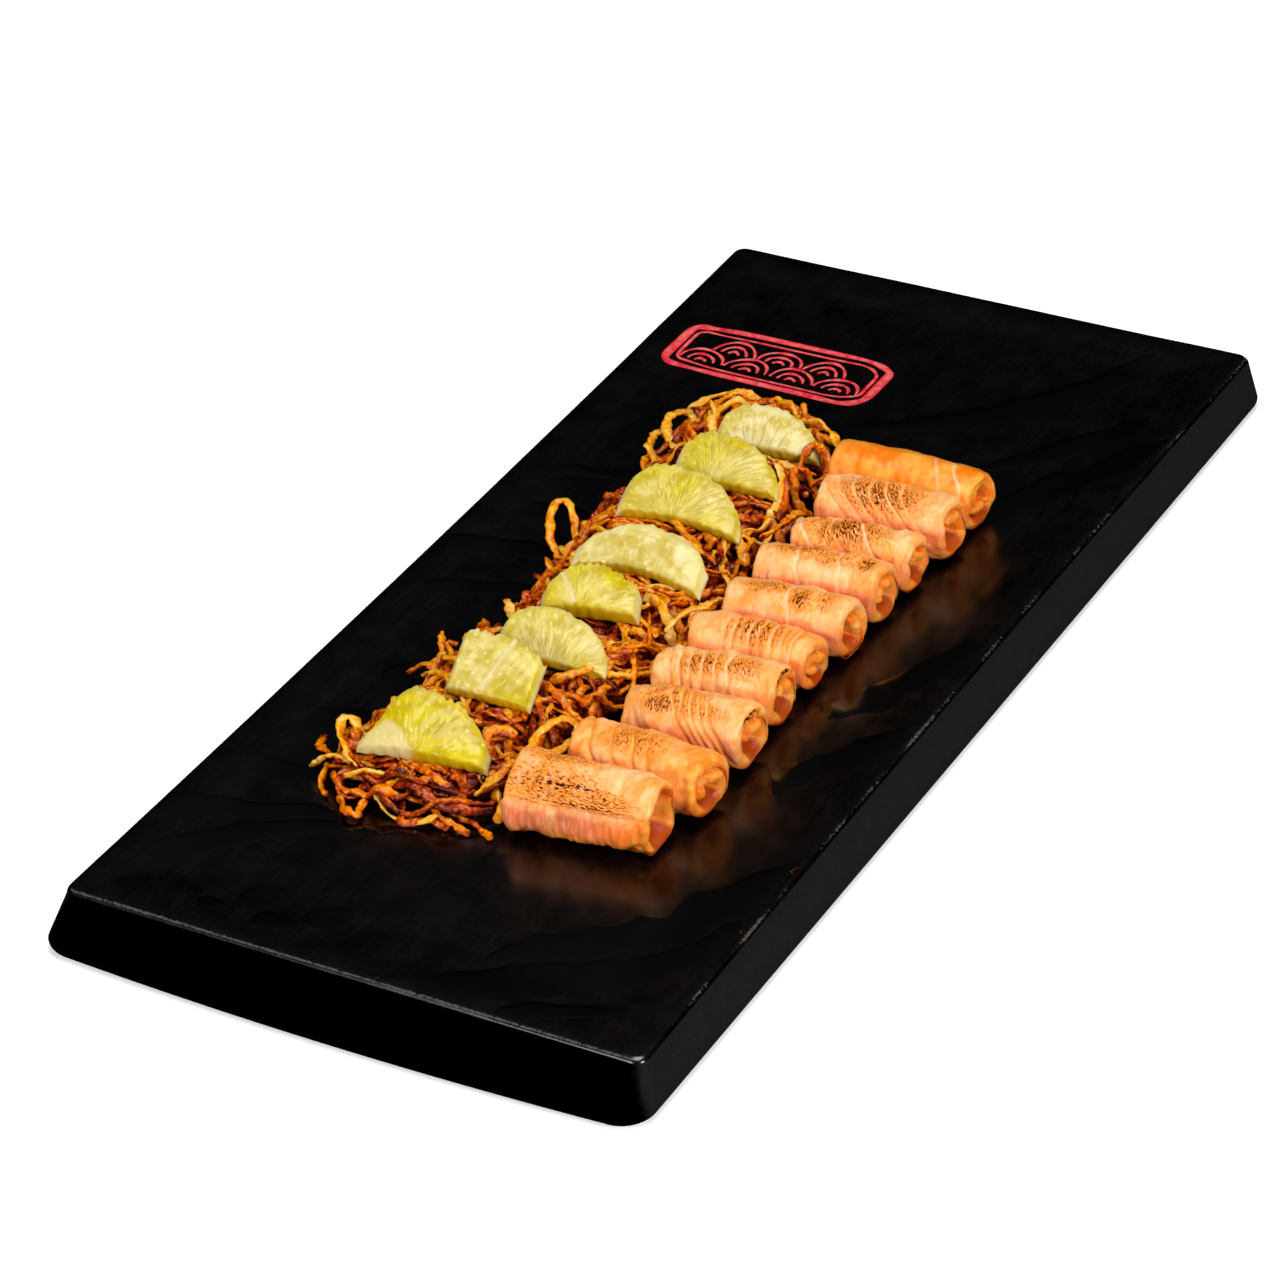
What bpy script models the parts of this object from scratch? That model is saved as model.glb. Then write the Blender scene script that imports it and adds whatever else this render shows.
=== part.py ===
"""Seared salmon platter: a stoneware slab with rolled salmon slices, a bed of fried onion and lime pieces.

Units are metres, +Z is up. The origin is the middle of the slab's flat base. +Y runs along the
slab, and +X across it, from the onion bed towards the salmon.
"""

import functools
import math
import random
from dataclasses import dataclass

import bmesh
import bpy
from mathutils import Vector

MM = 0.001

# Slab: the base outline is the largest, and the sides lean in towards the top, the near end most.
SLAB_LENGTH = 400 * MM
SLAB_WIDTH = 190 * MM
SLAB_RIM = 16 * MM
SLAB_FLOOR = 15.2 * MM
SIDE_LEAN = 3.6 * MM
FAR_LEAN = 2.4 * MM
NEAR_LEAN = 9.6 * MM
TOP_WAIST = 1.4 * MM
NEAR_BULGE = 3.0 * MM
BASE_CORNER = 9 * MM
TOP_CORNER = 4 * MM
TOP_ROUND = 2.2 * MM
FOOT_ROUND = 3 * MM
FLOOR_BLEND = 22 * MM

# Everything on the slab keeps this gap to what carries it.
REST_GAP = 0.3 * MM
TABLE = SLAB_FLOOR + REST_GAP

# Salmon slices: each is one sheet rolled up, with a thin gap between its turns.
LAYER_GAP = 0.45 * MM
STEPS_PER_TURN = 14
ROLL_STATIONS = 7
SPREAD_AT_BASE = 0.05

# Onion bed: a lumpy core, and strips and rings of onion fused on to it.
BED_X = -22 * MM
BED_Y = -8.5 * MM
CORE_HALF_WIDTH = 25 * MM
CORE_HALF_LENGTH = 108 * MM
CORE_HEIGHT = 10.5 * MM
CORE_END_POWER = 8
CUSHION_HEIGHT = 4.5 * MM
CUSHION_SPREAD = (12 * MM, 6 * MM)
CORE_STATIONS = 36
STRIP_RADIUS = 1.15 * MM
STRIP_POINTS = 8
STRIP_ROWS = 15
STRIP_COLUMNS = 4
STRIP_SEED = 11
CLEARANCE = 0.7 * MM

# Lime pieces: half slices that lie on the bed.
LIME_STATIONS = 9
LIME_END = 0.02
LIME_BULGE = 0.7 * MM
LIME_GAP = 0.6 * MM


@dataclass(frozen=True)
class Roll:
    """One rolled slice. Lengths are in millimetres and angles in degrees.

    x, y and yaw place the middle of its base. The lip is where the slice's outer edge lies, counted from
    the far side over the top. Flare makes the left end wider than the right one, rise makes the far side
    higher than the near one, left and right make an end smaller, and slant makes the far side longer.
    """

    x: float
    y: float
    yaw: float
    length: float
    width: float
    height: float
    turns: float = 1.35
    lip: float = 262
    wall: float = 3.2
    square: float = 2.2
    flare: float = 0.0
    rise: float = 0.0
    left: float = 0.16
    right: float = 0.1
    slant: float = 1.5


@dataclass(frozen=True)
class Lime:
    """One lime piece. Lengths are in millimetres and angles in degrees.

    x, y and yaw place the middle of its straight front edge. A low power makes its outline squarer, a skew
    under 1 makes it deepest left of its middle, lean lifts its back edge, and tip lowers its right end.
    """

    x: float
    y: float
    yaw: float
    chord: float
    depth: float
    thick: float
    power: float = 0.5
    skew: float = 0.72
    lean: float = 27
    tip: float = 5


# From the near end of the slab to the far end.
ROLLS = [
    Roll(29, -106.1, 5, 44, 20.5, 18.5, 1.12, 252, wall=2.6, square=2.9, flare=0.12, rise=0.2, left=0, right=0),
    Roll(33, -84.5, -3, 43, 20, 19, 1.3, 268),
    Roll(35.8, -61.5, 4, 39, 20, 19.5, 1.3, 255),
    Roll(33.7, -40.2, 6, 39, 19, 18.5, 1.2, 262),
    Roll(33.8, -20.5, 4, 39, 18.2, 18, 1.6, 270, right=0.22),
    Roll(35.4, -1.7, 4, 39, 18.5, 18.5, 1.3, 250),
    Roll(35.4, 18.1, 5, 40, 19, 18.5, 1.5, 262),
    Roll(37.0, 36.7, 6, 39, 17.5, 18, 1.25, 265, right=0.16),
    Roll(37.1, 56.3, 4, 42, 18.8, 19, 1.3, 262, square=2.6, left=0.08),
    Roll(34.0, 77.3, 1, 47, 19.6, 18.5, 1.5, 70, square=2.5, flare=0.05, left=0.06, right=0.12),
]
LIMES = [
    Lime(-24, -108.0, 14, 38, 19, 4.6, skew=0.6),
    Lime(-20, -79.0, 8, 26, 19, 3.4, power=0.2, skew=0.9),
    Lime(-15.5, -52.0, 4, 35, 16, 3.2),
    Lime(-16, -28.5, 20, 29, 15, 5.0, power=0.4),
    Lime(-13.5, -6.5, 6, 41, 17, 3.2),
    Lime(-15.5, 22.5, 8, 39, 18, 3.4),
    Lime(-13, 47.0, 12, 33, 16.5, 3.4),
    Lime(-12.5, 72.5, 14, 33, 15, 3.6),
]


def make_material(name, colour, roughness):
    """A non-metal Principled material."""
    material = bpy.data.materials.new(name)
    material.use_nodes = True
    shader = material.node_tree.nodes["Principled BSDF"]
    shader.inputs["Base Color"].default_value = (*colour, 1.0)
    shader.inputs["Roughness"].default_value = roughness
    return material


def add_object(name, mesh, material, collection):
    """A new object for a finished mesh, shaded smooth up to a sharp angle."""
    mesh.materials.append(material)
    mesh.shade_smooth()
    mesh.set_sharp_from_angle(angle=math.radians(35))
    obj = bpy.data.objects.new(name, mesh)
    collection.objects.link(obj)
    return obj


def loft(name, rings):
    """A closed mesh through rings of equally many points, with each end ring filled."""
    bm = bmesh.new()
    rows = [[bm.verts.new(point) for point in ring] for ring in rings]
    for low, high in zip(rows, rows[1:]):
        for i in range(len(low)):
            j = (i + 1) % len(low)
            bm.faces.new((low[i], low[j], high[j], high[i]))
    bm.faces.new(reversed(rows[0]))
    bm.faces.new(rows[-1])
    bmesh.ops.recalc_face_normals(bm, faces=bm.faces)
    mesh = bpy.data.meshes.new(name)
    bm.to_mesh(mesh)
    bm.free()
    return mesh


def signed_power(value, power):
    """value raised to power, with its sign kept."""
    return math.copysign(abs(value) ** power, value)


# ---------------------------------------------------------------- slab


def slab_ring(level, inset, z):
    """A rounded rectangle at height z; level runs from the base outline, 0, to the top one, 1."""
    half_width = SLAB_WIDTH / 2 - SIDE_LEAN * level - inset
    near = (NEAR_BULGE - SLAB_LENGTH) / 2 + NEAR_LEAN * level + inset
    far = (NEAR_BULGE + SLAB_LENGTH) / 2 - FAR_LEAN * level - inset
    half_length = (far - near) / 2
    corner = BASE_CORNER + (TOP_CORNER - BASE_CORNER) * level
    corner = max(corner - inset / 2, 2 * MM)
    corner_steps = 4
    side_steps = 6
    end_steps = 4
    ring = []
    for quarter in range(4):
        sign_x = 1 if quarter in (0, 3) else -1
        sign_y = 1 if quarter in (0, 1) else -1
        middle = Vector((sign_x * (half_width - corner), sign_y * (half_length - corner)))
        for step in range(corner_steps + 1):
            angle = math.radians(90 * (quarter + step / corner_steps))
            ring.append(middle + corner * Vector((math.cos(angle), math.sin(angle))))
        steps = end_steps if quarter in (0, 2) else side_steps
        run = 2 * ((half_width if quarter in (0, 2) else half_length) - corner)
        heading = [Vector((-1, 0)), Vector((0, -1)), Vector((1, 0)), Vector((0, 1))][quarter]
        start = ring[-1]
        ring += [start + heading * run * step / steps for step in range(1, steps)]
    shaped = []
    for point in ring:
        along = 1 - (point.y / half_length) ** 2
        across = 1 - (point.x / half_width) ** 2
        x = point.x * (1 - TOP_WAIST * level * along / half_width)
        bulge = NEAR_BULGE * (1 - level) * across if point.y < 0 else 0
        y = point.y * (1 + bulge / half_length) + (near + far) / 2
        shaped.append(Vector((x, y, z)))
    return shaped


def make_slab(material, collection):
    """The slab: flat base, rounded foot, leaning sides, rounded rim and a floor just below the rim."""
    rings = []
    for angle in (0, 30, 60, 90):
        turn = math.radians(angle)
        inset = FOOT_ROUND * (1 - math.sin(turn))
        rings.append(slab_ring(0, inset, FOOT_ROUND * (1 - math.cos(turn))))
    for angle in (0, 30, 60, 90):
        turn = math.radians(angle)
        inset = TOP_ROUND * (1 - math.cos(turn))
        rings.append(slab_ring(1, inset, SLAB_RIM - TOP_ROUND * (1 - math.sin(turn))))
    for share in (0.35, 0.7, 1.0):
        drop = (SLAB_RIM - SLAB_FLOOR) * math.sin(math.radians(90 * share)) ** 2
        rings.append(slab_ring(1, TOP_ROUND + FLOOR_BLEND * share, SLAB_RIM - drop))
    return add_object("platter", loft("platter", rings), material, collection)


# ---------------------------------------------------------------- salmon


def roll_point(plan, around, along):
    """A point of the slice's middle surface; around runs from the outer lip to the inner end, along the axis."""
    turn = around * plan.turns
    angle = math.radians(plan.lip) + turn * math.tau
    shrink = (turn - 0.5) * (plan.wall * MM + LAYER_GAP)
    scale = 1 - plan.left * (1 - along) ** 4 - plan.right * along**4
    half_width = (plan.width - plan.wall) * MM / 2 * scale * (1 + plan.flare * (1 - 2 * along)) - shrink
    half_height = (plan.height - plan.wall) * MM / 2 * scale - shrink
    across = signed_power(math.cos(angle), 2 / plan.square)
    up = signed_power(math.sin(angle), 2 / plan.square)
    side = across * (1 - SPREAD_AT_BASE * up)
    level = (1 + up) * (1 + plan.rise * across) - 1
    x = (along - 0.5) * (plan.length + plan.slant * across) * MM
    return Vector((x, half_width * side, half_height * level - (1 - scale) * plan.height * MM / 3))


def make_roll(index, plan, material, collection):
    """One rolled slice, a spiral sheet thickened evenly to both sides."""
    around_steps = round(plan.turns * STEPS_PER_TURN)
    bm = bmesh.new()
    bmesh.ops.create_grid(bm, x_segments=around_steps, y_segments=ROLL_STATIONS - 1, size=1)
    for vert in bm.verts:
        vert.co = roll_point(plan, (vert.co.x + 1) / 2, (vert.co.y + 1) / 2)
    bmesh.ops.recalc_face_normals(bm, faces=bm.faces)
    lowest = min(vert.co.z for vert in bm.verts) - plan.wall * MM / 2
    bmesh.ops.translate(bm, verts=bm.verts, vec=Vector((0, 0, -lowest)))
    mesh = bpy.data.meshes.new(f"salmon_roll_{index:02d}")
    bm.to_mesh(mesh)
    bm.free()
    obj = add_object(mesh.name, mesh, material, collection)
    obj.location = (plan.x * MM, plan.y * MM, TABLE)
    obj.rotation_euler.z = math.radians(plan.yaw)
    thickness = obj.modifiers.new("slice thickness", "SOLIDIFY")
    thickness.thickness = plan.wall * MM
    thickness.offset = 0
    thickness.use_even_offset = False
    return obj


# ---------------------------------------------------------------- onion bed


def cushion_height(x, y):
    """How much higher the bed is at a place because a lime piece leans on it there."""
    height = 0.0
    for plan in LIMES:
        middle, along, back = lime_frame(plan)
        offset = Vector((x, y)) - middle - back * plan.depth * MM * 0.75
        reach = (offset.dot(along) / CUSHION_SPREAD[0]) ** 2 + (offset.dot(back) / CUSHION_SPREAD[1]) ** 2
        height = max(height, CUSHION_HEIGHT * math.exp(-reach))
    return height


def core_height(x, y):
    """Height of the bed's core above the slab at a place, 0 outside it."""
    v = abs(y - BED_Y) / CORE_HALF_LENGTH
    if v >= 1:
        return 0.0
    end = math.sqrt(1 - v**CORE_END_POWER)
    u = abs(x - BED_X) / (CORE_HALF_WIDTH * end)
    if u >= 1:
        return 0.0
    swell = 1 + 0.08 * math.sin(y / (17 * MM)) + 0.05 * math.sin(x / (7 * MM) + y / (11 * MM))
    return (CORE_HEIGHT * swell + cushion_height(x, y)) * end * (1 - u**2.4) ** 0.6


def make_core(collection):
    """The bed's smooth core, with a flat underside."""
    across = 8
    rings = []
    for i in range(CORE_STATIONS):
        spread = 2 * i / (CORE_STATIONS - 1) - 1
        y = BED_Y + CORE_HALF_LENGTH * 0.995 * (1.1 * spread - 0.1 * spread**9)
        v = abs(y - BED_Y) / CORE_HALF_LENGTH
        half_width = CORE_HALF_WIDTH * math.sqrt(1 - v**CORE_END_POWER)
        ring = []
        for j in range(across + 1):
            x = BED_X - half_width * math.cos(math.pi * j / across)
            ring.append(Vector((x, y, TABLE + core_height(x, y))))
        ring.append(Vector((BED_X, y, TABLE)))
        rings.append(ring)
    mesh = loft("core", rings)
    obj = bpy.data.objects.new("core", mesh)
    collection.objects.link(obj)
    return obj


# ---------------------------------------------------------------- lime


def lime_frame(plan):
    """The middle of a piece's front edge, and the directions along that edge and back from it."""
    yaw = math.radians(plan.yaw)
    return (
        Vector((plan.x * MM, plan.y * MM)),
        Vector((math.cos(yaw), math.sin(yaw))),
        Vector((-math.sin(yaw), math.cos(yaw))),
    )


def lime_moon(plan, share):
    """How deep a piece is at a share of its chord, from 0 at its tips to 1 where it is deepest."""
    return (1 - (2 * share**plan.skew - 1) ** 2) ** plan.power


def lime_rise(plan, share, reach):
    """How much a piece is lifted at a place by its lean and its tip."""
    lean = reach * math.tan(math.radians(plan.lean))
    return lean - (share - 0.5) * plan.chord * MM * math.tan(math.radians(plan.tip))


@functools.cache
def lime_seat(plan):
    """Height of the middle of the front edge's underside, with the whole underside clear of the core."""
    middle, along, back = lime_frame(plan)
    heights = []
    for i in range(13):
        share = i / 12
        for j in range(9):
            reach = plan.depth * MM * lime_moon(plan, share) * j / 8
            spot = middle + along * plan.chord * MM * (share - 0.5) + back * reach
            heights.append(core_height(*spot) - lime_rise(plan, share, reach))
    return TABLE + max(heights) + LIME_GAP


def make_lime(index, plan, material, collection):
    """One lime piece: a cut front face, a slightly domed top and a thinner rounded back edge."""
    middle, along, back = lime_frame(plan)
    rings = []
    for i in range(LIME_STATIONS):
        share = 0.5 - 0.5 * (1 - 2 * LIME_END) * math.cos(math.pi * i / (LIME_STATIONS - 1))
        moon = lime_moon(plan, share)
        depth = plan.depth * MM * moon
        thick = plan.thick * MM * (0.45 + 0.55 * moon)
        profile = [
            (0, 0),
            (0, thick),
            (depth * 0.45, thick + LIME_BULGE * moon),
            (depth * 0.9, thick * 0.85),
            (depth, thick * 0.45),
            (depth * 0.95, 0),
        ]
        ring = []
        for reach, height in profile:
            spot = along * plan.chord * MM * (share - 0.5) + back * reach
            ring.append(Vector((*spot, height + lime_rise(plan, share, reach))))
        rings.append(ring)
    mesh = loft(f"lime_piece_{index:02d}", rings)
    obj = add_object(mesh.name, mesh, material, collection)
    obj.location = (*middle, lime_seat(plan))
    return obj


# ---------------------------------------------------------------- onion strips


def near_lime(point, margin):
    """True where a point lies in a lime piece, or closer to it than the margin."""
    for plan in LIMES:
        middle, along, back = lime_frame(plan)
        offset = Vector(point[:2]) - middle
        share = offset.dot(along) / (plan.chord * MM) + 0.5
        reach = offset.dot(back)
        slack = margin / (plan.chord * MM)
        if not -slack < share < 1 + slack:
            continue
        if not -margin < reach < plan.depth * MM * lime_moon(plan, min(max(share, 0.05), 0.95)) + margin:
            continue
        level = point[2] - lime_seat(plan) - lime_rise(plan, share, reach)
        if -margin < level < plan.thick * MM + LIME_BULGE + margin:
            return True
    return False


def near_roll(point, margin):
    """True where a point lies in a salmon roll, or closer to it than the margin."""
    for plan in ROLLS:
        yaw = math.radians(plan.yaw)
        dx = point[0] - plan.x * MM
        dy = point[1] - plan.y * MM
        along = dx * math.cos(yaw) + dy * math.sin(yaw)
        across = dy * math.cos(yaw) - dx * math.sin(yaw)
        if abs(along) < (plan.length / 2 + plan.slant) * MM + margin and (
            abs(across) < plan.width * MM / 2 * (1 + SPREAD_AT_BASE) + margin
        ):
            return True
    return False


def strip_path(rng, x, y):
    """A curling strip that leaves the core, arches over it and comes back or sticks out, as a list of points."""
    heading = rng.uniform(0, math.tau)
    bend = rng.uniform(-70, 70) / MM / 1000
    step = rng.uniform(2.1, 3.3) * MM
    arch = rng.uniform(2.0, 4.5) * MM
    loose_end = rng.random() < 0.5
    points = []
    for i in range(STRIP_POINTS):
        share = i / (STRIP_POINTS - 1)
        rise = math.sin(math.pi * share * (0.55 if loose_end else 1.0)) * arch - 1.2 * MM
        ground = max(core_height(x, y), STRIP_RADIUS * 1.2)
        points.append(Vector((x, y, TABLE + max(ground + rise, STRIP_RADIUS * 1.2))))
        heading += bend * step + rng.uniform(-0.25, 0.25)
        x += step * math.cos(heading)
        y += step * math.sin(heading)
    return points


def ring_path(rng, x, y):
    """A ring of onion that stands on the bed, as a closed list of points."""
    radius = rng.uniform(4.2, 6.0) * MM
    turn = rng.uniform(0, math.pi)
    tilt = rng.uniform(0.9, 1.4)
    centre = Vector((x, y, TABLE + core_height(x, y) + radius * 0.55))
    side = Vector((math.cos(turn), math.sin(turn), 0))
    rise = Vector((-math.sin(turn) * math.cos(tilt), math.cos(turn) * math.cos(tilt), math.sin(tilt)))
    points = []
    for i in range(STRIP_POINTS):
        angle = math.tau * i / STRIP_POINTS
        points.append(centre + radius * (side * math.cos(angle) + rise * math.sin(angle)))
    return points


def clear(points, margin):
    """True where a path keeps off the limes and the salmon and stays above the slab."""
    lowest = TABLE + STRIP_RADIUS
    spots = points + [(a + b) / 2 for a, b in zip(points, points[1:])]
    return all(
        p.z >= lowest and not near_lime(p, margin) and not near_roll(p, margin) for p in spots
    )


def strip_paths():
    """Paths for the strips and rings that show, spread evenly over the bed from one seed."""
    rng = random.Random(STRIP_SEED)
    margin = STRIP_RADIUS + CLEARANCE
    paths = []
    for row in range(STRIP_ROWS):
        for column in range(STRIP_COLUMNS):
            rim = column in (0, STRIP_COLUMNS - 1) or row in (0, STRIP_ROWS - 1)
            for _ in range(14):
                u = (column + rng.random()) / STRIP_COLUMNS * 2 - 1
                v = (row + rng.random()) / STRIP_ROWS * 2 - 1
                x = BED_X + u * CORE_HALF_WIDTH * 0.95
                y = BED_Y + v * CORE_HALF_LENGTH * 0.97
                closed = rim and rng.random() < 0.16
                points = ring_path(rng, x, y) if closed else strip_path(rng, x, y)
                if clear(points, margin):
                    paths.append((points, closed))
                    break
    return paths


def tube_mesh(points, closed):
    """A four-sided tube along a path, closed and welded, as a mesh."""
    curve = bpy.data.curves.new("strip", "CURVE")
    curve.dimensions = "3D"
    curve.bevel_depth = STRIP_RADIUS
    curve.bevel_resolution = 0
    curve.use_fill_caps = not closed
    spline = curve.splines.new("POLY")
    spline.points.add(len(points) - 1)
    for spot, point in zip(spline.points, points):
        spot.co = (*point, 1)
    spline.use_cyclic_u = closed
    guide = bpy.data.objects.new("strip", curve)
    bpy.context.scene.collection.objects.link(guide)
    evaluated = guide.evaluated_get(bpy.context.evaluated_depsgraph_get())
    mesh = bpy.data.meshes.new_from_object(evaluated)
    bpy.data.objects.remove(guide)
    bm = bmesh.new()
    bm.from_mesh(mesh)
    bmesh.ops.remove_doubles(bm, verts=bm.verts, dist=0.01 * MM)
    bmesh.ops.recalc_face_normals(bm, faces=bm.faces)
    bm.to_mesh(mesh)
    bm.free()
    return mesh


def islands(bm):
    """The connected pieces of a mesh, each a set of its vertices."""
    left = set(bm.verts)
    found = []
    while left:
        edge = [left.pop()]
        piece = set(edge)
        while edge:
            vert = edge.pop()
            for link in vert.link_edges:
                other = link.other_vert(vert)
                if other not in piece:
                    piece.add(other)
                    edge.append(other)
        left -= piece
        found.append(piece)
    return found


def make_bed(material, collection):
    """The onion bed: core, strips and rings as one solid."""
    core = make_core(collection)
    parts = bpy.data.collections.new("onion strips")
    bpy.context.scene.collection.children.link(parts)
    for i, (points, closed) in enumerate(strip_paths()):
        parts.objects.link(bpy.data.objects.new(f"strip_{i:02d}", tube_mesh(points, closed)))
    union = core.modifiers.new("fuse", "BOOLEAN")
    union.operation = "UNION"
    union.operand_type = "COLLECTION"
    union.collection = parts
    evaluated = core.evaluated_get(bpy.context.evaluated_depsgraph_get())
    mesh = bpy.data.meshes.new_from_object(evaluated)
    bpy.data.objects.remove(core)
    for obj in list(parts.objects):
        bpy.data.objects.remove(obj)
    bpy.data.collections.remove(parts)
    bm = bmesh.new()
    bm.from_mesh(mesh)
    pieces = sorted(islands(bm), key=len)
    bmesh.ops.delete(bm, geom=[v for piece in pieces[:-1] for v in piece], context="VERTS")
    bm.to_mesh(mesh)
    bm.free()
    mesh.materials.clear()
    return add_object("fried_onion_bed", mesh, material, collection)


def main():
    """Clears the scene and builds the platter and everything on it."""
    for obj in list(bpy.data.objects):
        bpy.data.objects.remove(obj)
    collection = bpy.data.collections.new("seared salmon platter")
    bpy.context.scene.collection.children.link(collection)
    stoneware = make_material("black stoneware", (0.012, 0.011, 0.011), 0.35)
    salmon = make_material("seared salmon", (0.85, 0.36, 0.17), 0.4)
    onion = make_material("fried onion", (0.48, 0.17, 0.03), 0.4)
    lime = make_material("lime flesh", (0.82, 0.80, 0.30), 0.3)
    make_slab(stoneware, collection)
    for index, plan in enumerate(ROLLS, 1):
        make_roll(index, plan, salmon, collection)
    for index, plan in enumerate(LIMES, 1):
        make_lime(index, plan, lime, collection)
    make_bed(onion, collection)


main()
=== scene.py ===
"""Seared salmon platter: the finish of every surface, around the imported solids.

A long black stoneware slab carries ten rolled salmon slices, a heap of crisp fried onion and eight
pieces of peeled lime. Each sub-assembly is a class that holds its sizes in millimetres, builds its
surfaces as numpy grids and dresses them. Everything is in metres in the frame of the solids.
"""

from __future__ import annotations

import logging
import math
from dataclasses import dataclass, field
from enum import Enum
from functools import partial
from typing import Callable

import bmesh
import bpy
import numpy as np
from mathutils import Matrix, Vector

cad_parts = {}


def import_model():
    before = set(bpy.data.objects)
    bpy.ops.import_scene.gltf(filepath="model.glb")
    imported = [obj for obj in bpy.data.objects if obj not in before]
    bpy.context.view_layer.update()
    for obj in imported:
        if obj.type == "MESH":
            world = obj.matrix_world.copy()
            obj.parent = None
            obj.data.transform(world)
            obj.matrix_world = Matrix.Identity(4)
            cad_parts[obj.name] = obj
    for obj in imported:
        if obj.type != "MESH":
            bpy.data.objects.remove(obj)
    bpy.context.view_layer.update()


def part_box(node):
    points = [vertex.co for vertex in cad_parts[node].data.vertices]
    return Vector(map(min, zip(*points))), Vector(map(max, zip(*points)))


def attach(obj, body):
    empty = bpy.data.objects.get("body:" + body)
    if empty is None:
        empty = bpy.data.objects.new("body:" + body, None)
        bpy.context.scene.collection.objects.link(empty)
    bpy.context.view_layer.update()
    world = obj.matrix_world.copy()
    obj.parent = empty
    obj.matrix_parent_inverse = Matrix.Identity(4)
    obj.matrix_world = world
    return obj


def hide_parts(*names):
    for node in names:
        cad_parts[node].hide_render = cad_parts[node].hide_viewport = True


MM = 0.001
WELD = 0.001 * MM
SLIVER = 0.0001 * MM
Array = np.ndarray
Pair = tuple[float, float]
Triple = tuple[float, float, float]
Material = bpy.types.Material
Object = bpy.types.Object
Sockets = dict[str, bpy.types.NodeSocket]
AddNode = Callable[..., bpy.types.NodeSocket]
log = logging.getLogger("platter")


# ---- colour, noise, meshes


def linear(code: str) -> tuple[float, float, float, float]:
    """Turns an sRGB hex colour into linear RGBA.

    Args:
        code: six hex digits, with or without a leading #.

    Returns:
        Linear red, green and blue, and an alpha of 1.
    """
    digits = code.lstrip("#")
    values = [int(digits[i : i + 2], 16) / 255 for i in (0, 2, 4)]
    steps = [v / 12.92 if v <= 0.04045 else ((v + 0.055) / 1.055) ** 2.4 for v in values]
    return (*steps, 1.0)


def smooth_noise(points: Array, size: float, seed: int, waves: int = 12) -> Array:
    """Smooth noise: a sum of sine waves that run in random directions, scaled to about -1 to 1.

    Args:
        points: places, with their coordinates on the last axis.
        size: mean wavelength, in the points' own unit.
        seed: number that fixes the waves.
        waves: how many waves are summed.

    Returns:
        One value for each place.
    """
    rng = np.random.default_rng(seed)
    ways = rng.normal(size=(waves, points.shape[-1]))
    ways *= (2 * np.pi / size * rng.uniform(0.6, 1.5, waves) / np.linalg.norm(ways, axis=1))[:, None]
    return np.sin(points @ ways.T + rng.uniform(0, 2 * np.pi, waves)).sum(-1) / np.sqrt(waves)


def smoothstep(low: float, high: float, value: Array) -> Array:
    """Rises from 0 at low to 1 at high as 3t² - 2t³, and the other way round when low is the larger."""
    share = np.clip((value - low) / (high - low), 0, 1)
    return share * share * (3 - 2 * share)


def signed_power(value: Array, power: float) -> Array:
    """Raises the size of each value to a power and keeps its sign."""
    return np.sign(value) * np.abs(value) ** power


def through(points: list[tuple[float, ...]], count: int) -> Array:
    """A smooth curve through a few points, by Catmull-Rom: each span is a cubic whose slope at a point is
    half the step between its neighbours.

    Args:
        points: places the curve passes, of any number of coordinates.
        count: how many samples to return.

    Returns:
        The samples, evenly spread over the spans.
    """
    knots = np.array(points, float)
    knots = np.vstack([2 * knots[0] - knots[1], knots, 2 * knots[-1] - knots[-2]])
    spans = len(knots) - 3
    place = np.linspace(0, spans, count)
    index = np.minimum(place.astype(int), spans - 1)
    t = (place - index)[:, None]
    a, b, c, d = (knots[index + k] for k in range(4))
    return 0.5 * (2 * b + (c - a) * t + (2 * a - 5 * b + 4 * c - d) * t**2 + (3 * b - a - 3 * c + d) * t**3)


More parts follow.
